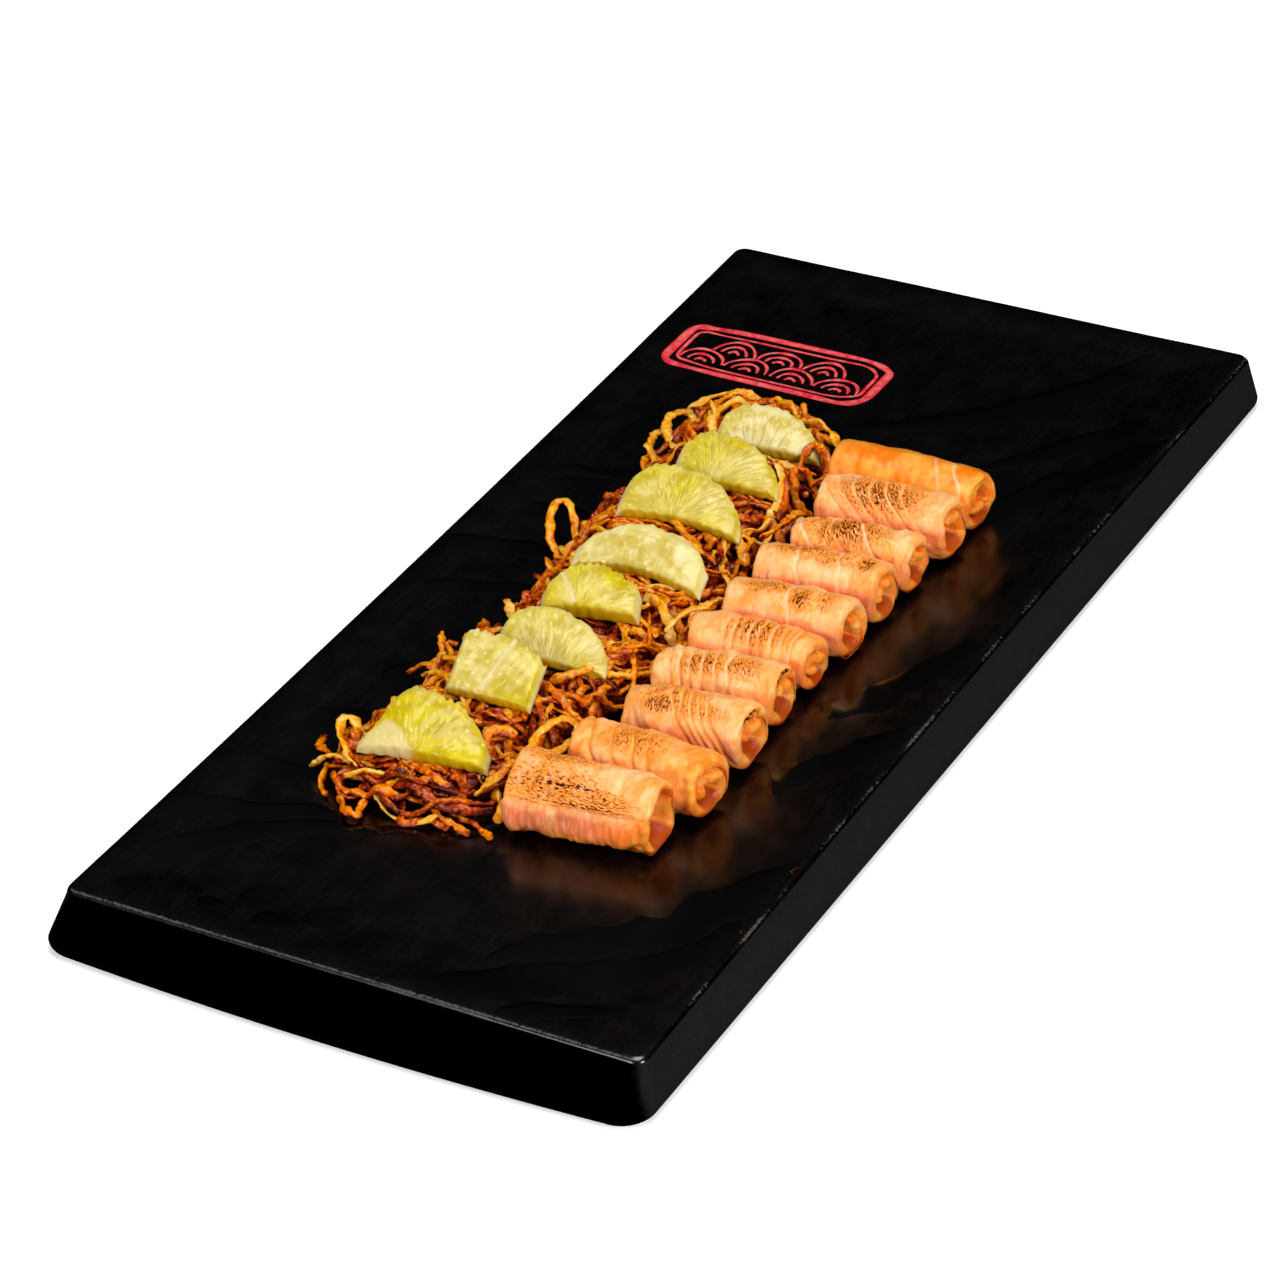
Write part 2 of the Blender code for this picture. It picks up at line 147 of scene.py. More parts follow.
@dataclass
class Surface:
    """Vertices and faces gathered from grids, with one value of each attribute for every vertex."""

    points: list[Array] = field(default_factory=list)
    faces: list[Array] = field(default_factory=list)
    finishes: list[Array] = field(default_factory=list)
    values: dict[str, list[Array]] = field(default_factory=dict)
    count: int = 0

    def add_grid(
        self,
        grid: Array,
        wrap: bool = False,
        flip: bool = False,
        finish: int | Array = 0,
        **values: Array,
    ) -> None:
        """Adds a grid of quads between neighbouring rows and columns.

        Args:
            grid: points of shape (rows, columns, 3), in metres.
            wrap: joins the last column to the first.
            flip: turns the faces over.
            finish: material index, for all or for each row of faces.
            values: attributes of shape (rows, columns) or (rows, columns, 3).
        """
        rows, columns = grid.shape[:2]
        r, c = np.meshgrid(np.arange(rows - 1), np.arange(columns if wrap else columns - 1), indexing="ij")
        row, right = r * columns, (c + 1) % columns
        quads = np.stack([row + c, row + right, row + columns + right, row + columns + c], -1)
        quads = quads.reshape(-1, 4) + self.count
        self.faces.append(quads[:, ::-1] if flip else quads)
        row_finish = np.broadcast_to(np.asarray(finish), (rows - 1,))
        self.finishes.append(np.repeat(row_finish, r.shape[1]))
        self.points.append(grid.reshape(-1, 3))
        for name, value in values.items():
            self.values.setdefault(name, []).append(value.reshape(rows * columns, -1))
        self.count += rows * columns

    def build(self, name: str, materials: list[Material], outward: bool = True) -> Object:
        """Makes the object at the origin, with its seams and poles welded and its faces smooth.

        Args:
            name: the piece's name.
            materials: its finishes, in the order of the material indices.
            outward: recalculates the normals, for a closed piece.

        Returns:
            The new object.
        """
        mesh = bpy.data.meshes.new(name)
        points, faces = np.concatenate(self.points), np.concatenate(self.faces)
        mesh.vertices.add(len(points))
        mesh.vertices.foreach_set("co", points.astype(np.float32).ravel())
        mesh.loops.add(faces.size)
        mesh.loops.foreach_set("vertex_index", faces.astype(np.int32).ravel())
        mesh.polygons.add(len(faces))
        mesh.polygons.foreach_set("loop_start", np.arange(0, faces.size, 4, dtype=np.int32))
        mesh.polygons.foreach_set("material_index", np.concatenate(self.finishes).astype(np.int32))
        for key, chunks in self.values.items():
            data = np.concatenate(chunks).astype(np.float32)
            kind, slot = ("FLOAT_VECTOR", "vector") if data.shape[1] == 3 else ("FLOAT", "value")
            mesh.attributes.new(key, kind, "POINT").data.foreach_set(slot, data.ravel())
        mesh.update(calc_edges=True)
        bm = bmesh.new()
        bm.from_mesh(mesh)
        bmesh.ops.remove_doubles(bm, verts=bm.verts, dist=WELD)
        bmesh.ops.dissolve_degenerate(bm, dist=SLIVER, edges=bm.edges)
        if outward:
            bmesh.ops.recalc_face_normals(bm, faces=bm.faces)
        bm.to_mesh(mesh)
        bm.free()
        for material in materials:
            mesh.materials.append(material)
        mesh.shade_smooth()
        obj = bpy.data.objects.new(name, mesh)
        bpy.context.scene.collection.objects.link(obj)
        return obj


def place(piece: Object, slot: str, *nodes: str) -> None:
    """Makes a piece ride on the platter and stand for its solids.

    Args:
        piece: the finished piece.
        slot: not used.
        nodes: solids that the piece replaces.
    """
    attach(piece, "root")
    if nodes:
        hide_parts(*nodes)
    log.info("%s: %d faces", piece.name, len(piece.data.polygons))


# ---- finishes


def fill(node: bpy.types.Node, inputs: dict[int | str, object]) -> None:
    """Gives a node's sockets their values and links.

    Args:
        node: the node.
        inputs: a value, a hex colour or another node's output for each socket.
    """
    for key, value in inputs.items():
        if isinstance(value, bpy.types.NodeSocket):
            node.id_data.links.new(value, node.inputs[key])
        else:
            node.inputs[key].default_value = linear(value) if isinstance(value, str) else value


def add_node(
    tree: bpy.types.NodeTree,
    kind: str,
    inputs: dict[int | str, object] | None = None,
    output: int | str = 0,
    **settings: object,
) -> bpy.types.NodeSocket:
    """Adds a shader node with its settings, values and links.

    Args:
        tree: the tree.
        kind: the node's type, without the word ShaderNode.
        inputs: a value, a hex colour or another node's output for each socket.
        output: which of its outputs is wanted.
        settings: the node's own properties.

    Returns:
        The wanted output.
    """
    node = tree.nodes.new(f"ShaderNode{kind}")
    for key, value in settings.items():
        setattr(node, key, value)
    fill(node, inputs or {})
    return node.outputs[output]


@dataclass(frozen=True)
class Pattern:
    """A cloudy pattern on a surface: its cell in millimetres along each coordinate, its finer octaves, and
    the mesh attribute that carries its coordinates; with none it reads Object coordinates."""

    name: str
    cell: Triple
    detail: float
    on: str = ""
    kind: str = "TexNoise"


@dataclass(frozen=True)
class Finish:
    """A real finish: its constants and patterns are fields, and a subclass says how they colour the
    surface."""

    name: str = "finish"
    roughness: float = 0.4
    ior: float = 1.5
    specular: float = 0.5
    subsurface: float = 0.0
    subsurface_mm: Triple = (1.0, 0.5, 0.3)
    coat: float = 0.0
    coat_roughness: float = 0.1
    coat_ior: float = 1.5
    patterns: tuple[Pattern, ...] = ()

    def make(self) -> Material:
        """Makes the material: constants stay on the shader's own sockets, and the rest is linked.

        Returns:
            The new material.
        """
        material = bpy.data.materials.new(self.name)
        material.use_nodes = True
        add = partial(add_node, material.node_tree)
        noise: Sockets = {}
        for pattern in self.patterns:
            if pattern.on:
                start = add("Attribute", output="Vector", attribute_name=pattern.on)
            else:
                start = add("TexCoord", output="Object")
            cells_per_metre = tuple(1 / size / MM for size in pattern.cell)
            at = add("Mapping", {"Vector": start, "Scale": cells_per_metre})
            noise[pattern.name] = add(pattern.kind, {"Vector": at, "Scale": 1.0, "Detail": pattern.detail})
        constants = {
            "Roughness": self.roughness,
            "IOR": self.ior,
            "Specular IOR Level": self.specular,
            "Subsurface Weight": self.subsurface,
            "Subsurface Radius": self.subsurface_mm,
            "Subsurface Scale": MM,
            "Coat Weight": self.coat,
            "Coat Roughness": self.coat_roughness,
            "Coat IOR": self.coat_ior,
        }
        fill(material.node_tree.nodes["Principled BSDF"], constants | self.wire(add, noise))
        return material

    def wire(self, add: AddNode, noise: Sockets) -> dict[str, object]:
        """Turns the patterns and the mesh's attributes into what the shader's sockets take; a plain finish
        links nothing.

        Args:
            add: adds a node and returns its output.
            noise: each pattern's output.

        Returns:
            For each of the shader's sockets, a value or an output.
        """
        return {}


@dataclass(frozen=True)
class StonewareGlaze(Finish):
    """Satin black glaze brushed on stoneware: the brush leaves faint streaks along the slab that break its
    gloss, with specks of brown and grey grit, and the glaze is paler along the rim's crest, partly thin worn
    glaze and partly a painted highlight."""

    name: str = "satin black stoneware glaze"
    patterns: tuple[Pattern, ...] = (
        Pattern("streak", (1.6, 14, 1), 5),
        Pattern("blotch", (9, 9, 9), 4),
        Pattern("speck", (0.8, 0.8, 0.8), 3),
    )

    def wire(self, add: AddNode, noise: Sockets) -> dict[str, object]:
        """Streaks and blotches drive the roughness; specks and the rim's crest, partly wear and partly a
        painted highlight, drive the colour and a low bump.

        Args:
            add: adds a node.
            noise: the patterns.

        Returns:
            The shader's inputs.
        """
        streaks = add("Math", {0: noise["streak"], 1: 0.4}, operation="MULTIPLY")
        cloudy = add("Math", {0: noise["blotch"], 1: 0.6, 2: streaks}, operation="MULTIPLY_ADD")
        rim = add("Attribute", output="Vector", attribute_name="rim")
        crest = add("SeparateXYZ", {0: rim}, "X")
        # Partly wear and partly a painted highlight: a pale grey line along the rim's crest.
        wear_and_highlight = add("Math", {0: noise["speck"], 1: 1.2, 2: crest}, operation="MULTIPLY_ADD")
        colour = "#010101"
        for value, low, high, most, shade in (
            (cloudy, 0.38, 0.64, 1.0, "#060404"),
            (noise["speck"], 0.66, 0.72, 0.5, "#2A201A"),
            (wear_and_highlight, 1.1, 1.4, 1.0, "#4A4643"),
        ):
            span = {"Value": value, "From Min": low, "From Max": high, "To Max": most}
            share = add("MapRange", span, interpolation_type="SMOOTHSTEP")
            colour = add("Mix", {0: share, 6: colour, 7: shade}, 2, data_type="RGBA")
        span = {"Value": cloudy, "From Min": 0.35, "From Max": 0.65, "To Min": 0.17, "To Max": 0.26}
        return {
            "Base Color": colour,
            "Roughness": add("MapRange", span),
            "Normal": add("Bump", {"Height": noise["speck"], "Strength": 0.08, "Distance": 0.1 * MM}),
        }


@dataclass(frozen=True)
class UnglazedSide(Finish):
    """Matt slip on the slab's sides: even, soft and almost black, with fine grit; the two ends are painted
    pure black and without shine as shade, and the rim's crest is paler, partly wear and partly a painted
    highlight.
    """

    name: str = "matt black stoneware side"
    roughness: float = 0.38
    specular: float = 0.035
    patterns: tuple[Pattern, ...] = (Pattern("grit", (0.6, 0.6, 0.6), 4),)

    def wire(self, add: AddNode, noise: Sockets) -> dict[str, object]:
        """Fine grit drives the colour and a low bump; the ends are painted black and lose their shine as
        shade, and the rim's crest is paler, partly wear and partly a painted highlight.

        Args:
            add: adds a node.
            noise: the patterns.

        Returns:
            The shader's inputs.
        """
        rim = add("Attribute", output="Vector", attribute_name="rim")
        crest, end, _ = add("SeparateXYZ", {0: rim}).node.outputs
        wear_and_highlight = add("Math", {0: noise["grit"], 1: 1.2, 2: crest}, operation="MULTIPLY_ADD")
        # The rim's crest is paler, partly wear and partly a painted highlight.
        gritty, worn_and_lit = (
            add(
                "MapRange",
                {"Value": value, "From Min": low, "From Max": high},
                interpolation_type="SMOOTHSTEP",
            )
            for value, low, high in ((noise["grit"], 0.35, 0.7), (wear_and_highlight, 1.1, 1.4))
        )
        colour = "#161616"
        # Painted shade: the ends turn pure black.
        for share, shade in ((gritty, "#1D1C1D"), (end, "#000000"), (worn_and_lit, "#4A4643")):
            colour = add("Mix", {0: share, 6: colour, 7: shade}, 2, data_type="RGBA")
        # Painted shade: the ends also lose their shine.
        shine = {0: end, 1: -self.specular, 2: self.specular}
        return {
            "Base Color": colour,
            "Specular IOR Level": add("Math", shine, operation="MULTIPLY_ADD"),
            "Normal": add("Bump", {"Height": noise["grit"], "Strength": 0.2, "Distance": 0.1 * MM}),
        }


@dataclass(frozen=True)
class BrushedGlaze(Finish):
    """Glossy black glaze laid on thickly with a brush: smoother and deeper than the ground round it."""

    name: str = "glossy black glaze stroke"
    roughness: float = 0.1
    patterns: tuple[Pattern, ...] = (Pattern("bristle", (30, 0.8, 1), 3, "stroke"),)

    def wire(self, add: AddNode, noise: Sockets) -> dict[str, object]:
        """Bristle marks run along the stroke in its own coordinates.

        Args:
            add: adds a node.
            noise: the patterns.

        Returns:
            The shader's inputs.
        """
        marks = noise["bristle"]
        return {
            "Base Color": add("Mix", {0: marks, 6: "#020202", 7: "#050404"}, 2, data_type="RGBA"),
            "Normal": add("Bump", {"Height": marks, "Strength": 0.1, "Distance": 0.06 * MM}),
        }


@dataclass(frozen=True)
class RedEnamel(Finish):
    """Red enamel painted on by hand: deep red at its edges, with a painted pink highlight along its middle.
    """

    name: str = "hand painted red enamel"
    roughness: float = 0.28
    patterns: tuple[Pattern, ...] = (Pattern("blot", (3, 3, 3), 2),)

    def wire(self, add: AddNode, noise: Sockets) -> dict[str, object]:
        """The middle of a line is paler where soft blots fall: a painted highlight.

        Args:
            add: adds a node.
            noise: the patterns.

        Returns:
            The shader's inputs.
        """
        span = {"Value": noise["blot"], "From Min": 0.3, "From Max": 0.7}
        blot = add("MapRange", span, interpolation_type="SMOOTHSTEP")
        middle = add("Attribute", output="Fac", attribute_name="middle")
        # Painted highlight: pink along the middle of each line.
        thin = add("Math", {0: middle, 1: blot}, operation="MULTIPLY")
        return {"Base Color": add("Mix", {0: thin, 6: "#D8203A", 7: "#F07A6E"}, 2, data_type="RGBA")}


@dataclass(frozen=True)
class SearedSalmon(Finish):
    """Raw salmon seared with a torch: soft wet flesh that lets light in, peach where the heat has set it and
    pink or orange where it hasn't, with pale fat lines and short charred dashes where the flame has touched.
    Painted shade deepens it to orange in the grooves, under the roll and inside the spiral, and to deep red
    along its lowest edge."""

    name: str = "torched salmon flesh"
    roughness: float = 0.36
    ior: float = 1.4
    specular: float = 0.15
    subsurface: float = 0.35
    subsurface_mm: Triple = (2.4, 1.0, 0.4)
    coat: float = 0.4
    coat_roughness: float = 0.2
    patterns: tuple[Pattern, ...] = (
        Pattern("cloud", (6, 6, 6), 3, "sheet"),
        Pattern("blush", (15, 11, 9), 2, "sheet"),
        Pattern("mottle", (2.6, 1.7, 1), 3, "sheet"),
        Pattern("fibre", (3.4, 0.55, 1), 4, "sheet"),
        Pattern("grain", (1.1, 0.7, 1), 2, "sheet"),
        Pattern("dash", (1.25, 0.46, 1), 3, "marks"),
    )

    def wire(self, add: AddNode, noise: Sockets) -> dict[str, object]:
        """Colours are laid one over another, each where a pattern or an attribute says. A dash is charred
        where its pattern and the sear together pass a bar, and scorched just short of it.

        Args:
            add: adds a node.
            noise: the patterns.

        Returns:
            The shader's inputs.
        """
        tint = add("Attribute", output="Vector", attribute_name="tint")
        # warm is the raw orange share, partly raw flesh and partly painted shade.
        pink, warm, line = add("SeparateXYZ", {0: tint}).node.outputs
        sear, under = (add("Attribute", output="Fac", attribute_name=key) for key in ("sear", "under"))
        heat = add("Math", {0: sear, 1: 0.3, 2: noise["dash"]}, operation="MULTIPLY_ADD")
        cloudy, blushing, veil, streak, toast, uneven, scorched, charred, burnt, damp = (
            add(
                "MapRange",
                {"Value": value, "From Min": low, "From Max": high, "To Min": least, "To Max": most},
                interpolation_type="SMOOTHSTEP",
            )
            for value, low, high, least, most in (
                (noise["cloud"], 0.35, 0.65, 0, 1),
                (noise["blush"], 0.1, 0.42, 0, 1),
                (noise["mottle"], 0.5, 0.68, 0, 0.42),
                (noise["fibre"], 0.5, 0.68, 0, 1),
                (sear, 0.1, 0.8, 0, 0.75),
                (noise["cloud"], 0.25, 0.6, 0, 1),
                (heat, 0.66, 0.81, 0, 0.8),
                (heat, 0.81, 0.87, 0, 1),
                (sear, 0.7, 1.05, 0, 1),
                (heat, 0.81, 0.87, self.coat, 0),
            )
        )
        paler_when_cool = add("Math", {0: warm, 1: -0.24, 2: 0.28}, operation="MULTIPLY_ADD")
        flushed, streaked, lined, toasted = (
            add("Math", {0: first, 1: second}, operation="MULTIPLY")
            for first, second in ((pink, blushing), (streak, paler_when_cool), (line, 0.8), (toast, uneven))
        )
        peach, raw_and_shaded_orange, crust = (
            add("Mix", {0: share, 6: first, 7: second}, 2, data_type="RGBA")
            for share, first, second in (
                (cloudy, "#FCA642", "#FEC786"),
                (cloudy, "#FF7A04", "#FFA63C"),
                (burnt, "#8A4410", "#2C1004"),
            )
        )
        colour = peach
        for share, shade in (
            (flushed, "#EE7E52"),
            # Raw orange, partly raw flesh and partly painted shade.
            (warm, raw_and_shaded_orange),
            (veil, "#F88C28"),
            (streaked, "#FFE2C0"),
            (lined, "#FFCFA6"),
            (toasted, "#EE8E1C"),
            (scorched, "#CC6608"),
            (charred, crust),
            # Painted shade: deep red along the roll's lowest edge, where it meets the slab.
            (under, "#A82400"),
        ):
            colour = add("Mix", {0: share, 6: colour, 7: shade}, 2, data_type="RGBA")
        bump = add("Bump", {"Height": noise["fibre"], "Strength": 0.3, "Distance": 0.25 * MM})
        pit = {"Height": charred, "Strength": 0.4, "Distance": -0.15 * MM, "Normal": bump}
        wet = {"Height": noise["grain"], "Strength": 0.9, "Distance": 0.4 * MM, "Normal": bump}
        return {
            "Base Color": colour,
            "Normal": add("Bump", pit),
            "Coat Normal": add("Bump", wet),
            "Coat Weight": damp,
        }


@dataclass(frozen=True)
class FriedOnion(Finish):
    """Onion strips fried crisp in oil: a glassy brittle skin, golden to dark red-brown, blistered and
    shining."""

    name: str = "crisp fried onion"
    ior: float = 1.47
    specular: float = 0.02
    subsurface: float = 0.15
    subsurface_mm: Triple = (1.8, 0.6, 0.1)
    coat: float = 0.55
    coat_roughness: float = 0.03
    coat_ior: float = 1.55
    patterns: tuple[Pattern, ...] = (Pattern("blotch", (5, 5, 5), 4), Pattern("blister", (1.1, 1.1, 1.1), 3))
    shades: tuple[str, ...] = ("#300300", "#801A00", "#C24C00", "#E68600", "#F2AA26", "#F0C26A")

    def wire(self, add: AddNode, noise: Sockets) -> dict[str, object]:
        """Each strip has a tone of its own, with painted light on its upper side and painted shade deep in
        the heap, moved up and down by blotches and by blisters that raise the skin; a ramp turns the tone
        into a shade.

        Args:
            add: adds a node.
            noise: the patterns.

        Returns:
            The shader's inputs.
        """
        tone = add("Attribute", output="Fac", attribute_name="tone")
        for pattern in ("blotch", "blister"):
            centred = add("Math", {0: noise[pattern], 1: -0.5}, operation="ADD")
            tone = add("Math", {0: centred, 1: 0.8, 2: tone}, operation="MULTIPLY_ADD")
        shade = add("ValToRGB", {"Fac": tone})
        stops = shade.node.color_ramp.elements
        stops.remove(stops[-1])
        stops[0].position, *later = np.linspace(0.05, 0.95, len(self.shades)).tolist()
        for position in later:
            stops.new(position)
        for stop, colour in zip(stops, self.shades):
            stop.color = linear(colour)
        bump = add("Bump", {"Height": noise["blister"], "Strength": 0.9, "Distance": 0.45 * MM})
        return {"Base Color": shade, "Normal": bump, "Coat Normal": bump}


@dataclass(frozen=True)
class LimeFlesh(Finish):
    """Peeled lime: juice sacs packed side by side, clear and wet, fanning out from the fruit's middle; a
    deeper, darker yellow on the cut side and underneath, partly clear flesh and partly painted shade, pale
    where dry, with white skin along edges and between segments, and small painted glints."""

    name: str = "peeled lime flesh"
    ior: float = 1.36
    specular: float = 0.12
    subsurface: float = 0.35
    subsurface_mm: Triple = (2.2, 1.9, 0.8)
    coat: float = 0.3
    coat_roughness: float = 0.12
    patterns: tuple[Pattern, ...] = (
        Pattern("sac", (1.0, 3.6, 1), 0, "fan", "TexVoronoi"),
        Pattern("grain", (0.8, 2.0, 1), 4, "fan"),
        Pattern("haze", (6, 5, 1), 4, "fan"),
    )

    def wire(self, add: AddNode, noise: Sockets) -> dict[str, object]:
        """Sac walls, haze and grain shade the flesh, and grain also places small painted glints; attributes
        say where skin, pale flesh and the deeper yellow cut side and underside lie.

        Args:
            add: adds a node.
            noise: the patterns.

        Returns:
            The shader's inputs.
        """
        look = add("Attribute", output="Vector", attribute_name="look")
        skin, tone, deep = add("SeparateXYZ", {0: look}).node.outputs
        hazy = add("Math", {0: noise["grain"], 1: 0.4, 2: noise["haze"]}, operation="MULTIPLY_ADD")
        # Painted highlight: fine grain lights small pale glints, fewer on the cut side.
        edge, frost, painted_glint = (
            add(
                "MapRange",
                {"Value": value, "From Min": low, "From Max": high, "To Max": most},
                interpolation_type="SMOOTHSTEP",
            )
            for value, low, high, most in (
                (noise["sac"], 0.2, 0.8, 1.0),
                (hazy, 0.6, 0.82, 0.8),
                (noise["grain"], 0.6, 0.68, 1.0),
            )
        )
        shade = add("Math", {0: edge, 1: 0.3, 2: frost}, operation="MULTIPLY_ADD")
        less_when_deep = add("Math", {0: deep, 1: -0.45, 2: 0.5}, operation="MULTIPLY_ADD")
        clear, painted_glint_share, grainy = (
            add("Math", {0: first, 1: second}, operation="MULTIPLY")
            for first, second in ((deep, 0.95), (painted_glint, less_when_deep), (noise["grain"], 0.6))
        )
        green, pale = (
            add("Mix", {0: shade, 6: first, 7: second}, 2, data_type="RGBA")
            for first, second in (("#B69C00", "#CEBA10"), ("#C4AC44", "#DACC90"))
        )
        colour = green
        # The cut side and underside take a deeper, darker yellow: partly clear flesh and partly painted
        # shade.
        for share, over in ((tone, pale), (clear, "#BC9200"), (painted_glint_share, "#EADE80"), (skin, "#D8C890")):
            colour = add("Mix", {0: share, 6: colour, 7: over}, 2, data_type="RGBA")
        height = add("Math", {0: edge, 1: 0.4, 2: grainy}, operation="MULTIPLY_ADD")
        bump = add("Bump", {"Height": height, "Strength": 0.3, "Distance": -0.35 * MM})
        return {"Base Color": colour, "Normal": bump, "Coat Normal": bump}


# ---- slab


@dataclass
class Slab:
    """The stoneware slab, with the ground glaze on top, matt sides painted black at the ends as shade, and a
    rim whose crest is paler, partly wear and partly a painted highlight.
    """

    length: float = 400
    width: float = 190
    rim: float = 16
    floor: float = 15.2
    side_lean: float = 3.6
    far_lean: float = 2.4
    near_lean: float = 9.6
    waist: float = 1.4
    bulge: float = 3.0
    base_corner: float = 9
    top_corner: float = 4
    rim_round: float = 2.2
    foot_round: float = 3
    floor_blend: float = 22
    crest_angle: float = 58
    crest_spread: float = 22
    glaze_from: float = 30
    uneven: float = 0.12
    even_below: float = 15.4
    corner_steps: int = 14
    side_step: float = 2.5

    def outline(self, level: float, inset: float) -> Array:
        """The slab's outline as a rounded rectangle, pulled in at the waist and out at the near foot.

        Args:
            level: 0 for the base outline to 1 for the top one.
            inset: how far the outline is pulled in.

        Returns:
            Points of shape (n, 2), anticlockwise from the middle of the +X side's far end.
        """
        half_width = self.width / 2 - self.side_lean * level - inset
        near = (self.bulge - self.length) / 2 + self.near_lean * level + inset
        far = (self.bulge + self.length) / 2 - self.far_lean * level - inset
        half_length = (far - near) / 2
        corner = max(self.base_corner + (self.top_corner - self.base_corner) * level - inset / 2, 2)
        runs = []
        for quarter in range(4):
            sign = np.array([1 if quarter in (0, 3) else -1, 1 if quarter in (0, 1) else -1])
            middle = sign * (np.array([half_width, half_length]) - corner)
            angle = np.radians(90 * (quarter + np.linspace(0, 1, self.corner_steps + 1)))
            arc = middle + corner * np.stack([np.cos(angle), np.sin(angle)], -1)
            heading = np.array([[-1, 0], [0, -1], [1, 0], [0, 1]][quarter])
            reach = self.width if quarter in (0, 2) else self.length
            steps = int(reach / self.side_step)
            run = 2 * ((half_width if quarter in (0, 2) else half_length) - corner)
            runs += [arc, arc[-1] + heading * (run * np.arange(1, steps) / steps)[:, None]]
        ring = np.concatenate(runs)
        along = 1 - (ring[:, 1] / half_length) ** 2
        across = 1 - (ring[:, 0] / half_width) ** 2
        swell = np.where(ring[:, 1] < 0, self.bulge * (1 - level) * across, 0)
        x = ring[:, 0] * (1 - self.waist * level * along / half_width)
        y = ring[:, 1] * (1 + swell / half_length) + (near + far) / 2
        return np.stack([x, y], -1)

    def top(self) -> Pair:
        """The middle of the top along the slab, and half its length."""
        middle = self.bulge / 2 + (self.near_lean - self.far_lean) / 2
        return middle, (self.length - self.near_lean - self.far_lean) / 2

    def half_width(self, along: Array, half_length: float) -> Array:
        """Half the top's width at distances from its middle, narrowest half way along as 1 - t²."""
        return self.width / 2 - self.side_lean - self.waist * np.clip(1 - (along / half_length) ** 2, 0, 1)

    def fall(self, share: Array) -> Array:
        """How far the top lies under the rim: a quarter sine squared from the crest to the floor."""
        return (self.rim - self.floor) * np.sin(np.pi / 2 * share) ** 2

    def height(self, x: Array, y: Array) -> Array:
        """Height of the top.

        Args:
            x: places across the slab.
            y: places along the slab.

        Returns:
            The height at each place.
        """
        middle, half_length = self.top()
        side = self.half_width(y - middle, half_length) - np.abs(x)
        end = half_length - np.abs(y - middle)
        inside = (np.minimum(side, end) - self.rim_round) / self.floor_blend
        return self.rim - self.fall(np.clip(inside, 0, 1))

    def held(self, spot: Array) -> Array:
        """Moves places that lie past the rim's crest back to it.

        Args:
            spot: places of shape (..., 2).

        Returns:
            The places, all within the crest.
        """
        middle, reach = self.top()
        reach -= self.rim_round
        along = np.clip(spot[..., 1] - middle, -reach, reach)
        across = self.half_width(along, reach) - self.rim_round
        return np.stack([np.clip(spot[..., 0], -across, across), middle + along], -1)

    def inward(self, outline: Array, share: float) -> Array:
        """Shrinks an outline towards a spine along the slab's middle.

        Args:
            outline: the outline.
            share: 1 for the outline itself to 0 for the spine.

        Returns:
            The shrunk outline.
        """
        reach = (self.length - self.width) / 2
        spine = np.column_stack([np.zeros(len(outline)), np.clip(outline[:, 1], -reach, reach)])
        return spine + (outline - spine) * share

    def rings(self) -> tuple[list[Array], list[float], list[int]]:
        """All rings from the middle of the base up the sides and in to the middle of the top.

        Returns:
            The rings in millimetres, how much each lies on the rim's crest, and each row's finish.
        """
        glaze, side = 0, 1
        foot = self.outline(0, self.foot_round)
        rows = [(self.inward(foot, share), 0.0, 0.0, side) for share in (0.0, 0.5, 0.9)]
        for angle in np.radians(np.linspace(0, 90, 7)):
            outline = self.outline(0, self.foot_round * (1 - np.sin(angle)))
            rows.append((outline, self.foot_round * (1 - np.cos(angle)), 0.0, side))
        wall_low, wall_high = self.foot_round, self.rim - self.rim_round
        for share in (0.25, 0.5, 0.75):
            rows.append((self.outline(share, 0), wall_low + (wall_high - wall_low) * share, 0.0, side))
        for angle in np.linspace(0, 90, 11):
            turn = np.radians(angle)
            crest = float(np.exp(-(((angle - self.crest_angle) / self.crest_spread) ** 2)))
            outline = self.outline(1, self.rim_round * (1 - np.cos(turn)))
            part = side if angle < self.glaze_from else glaze
            rows.append((outline, self.rim - self.rim_round * (1 - np.sin(turn)), crest, part))
        for share in np.linspace(0, 1, 13)[1:]:
            outline = self.outline(1, self.rim_round + self.floor_blend * share)
            rows.append((outline, self.rim - self.fall(share), 0.0, glaze))
        floor = self.outline(1, self.rim_round + self.floor_blend)
        rows += [(self.inward(floor, share), self.floor, 0.0, glaze) for share in np.linspace(1, 0, 26)[1:]]
        outlines, heights, crests, parts = zip(*rows)
        rings = [np.column_stack([o, np.full(len(o), z)]) for o, z in zip(outlines, heights)]
        return rings, list(crests), list(parts)

    def build(self) -> Object:
        """Lofts the rings, with a hand-made unevenness of the rim and sides, and dresses the slab.

        Returns:
            The slab.
        """
        rings, crest, finish = self.rings()
        grid = np.stack(rings)
        high = smoothstep(2, 12, grid[..., 2])
        uneven = self.uneven * smooth_noise(grid, 60, 5) * high
        grid[..., 2] += uneven * (grid[..., 2] > self.even_below)
        # Painted shade: the end mask turns both ends of the slab black and without shine.
        side = self.width / 2 - self.side_lean - np.abs(grid[..., 0])
        end = smoothstep(-2.5, 2.5, side - (self.length / 2 - 6 - np.abs(grid[..., 1] - 4)))
        ridge = np.array(crest)[:, None]
        # The crest's pale line is partly wear and partly a painted highlight; along the ends it is strong and
        # even.
        wear_and_highlight = ridge * (0.5 + 0.2 * smooth_noise(grid, 30, 9)) * (1 - end) + 0.85 * ridge**2.5 * end
        rim = np.stack([np.clip(wear_and_highlight, 0, 1), end, 0 * end], -1)
        surface = Surface()
        surface.add_grid(grid * MM, wrap=True, finish=np.array(finish[1:]), rim=rim)
        piece = surface.build("stoneware_slab", [StonewareGlaze().make(), UnglazedSide().make()])
        place(piece, "stoneware", "platter")
        return piece


# ---- strokes and the painted mark


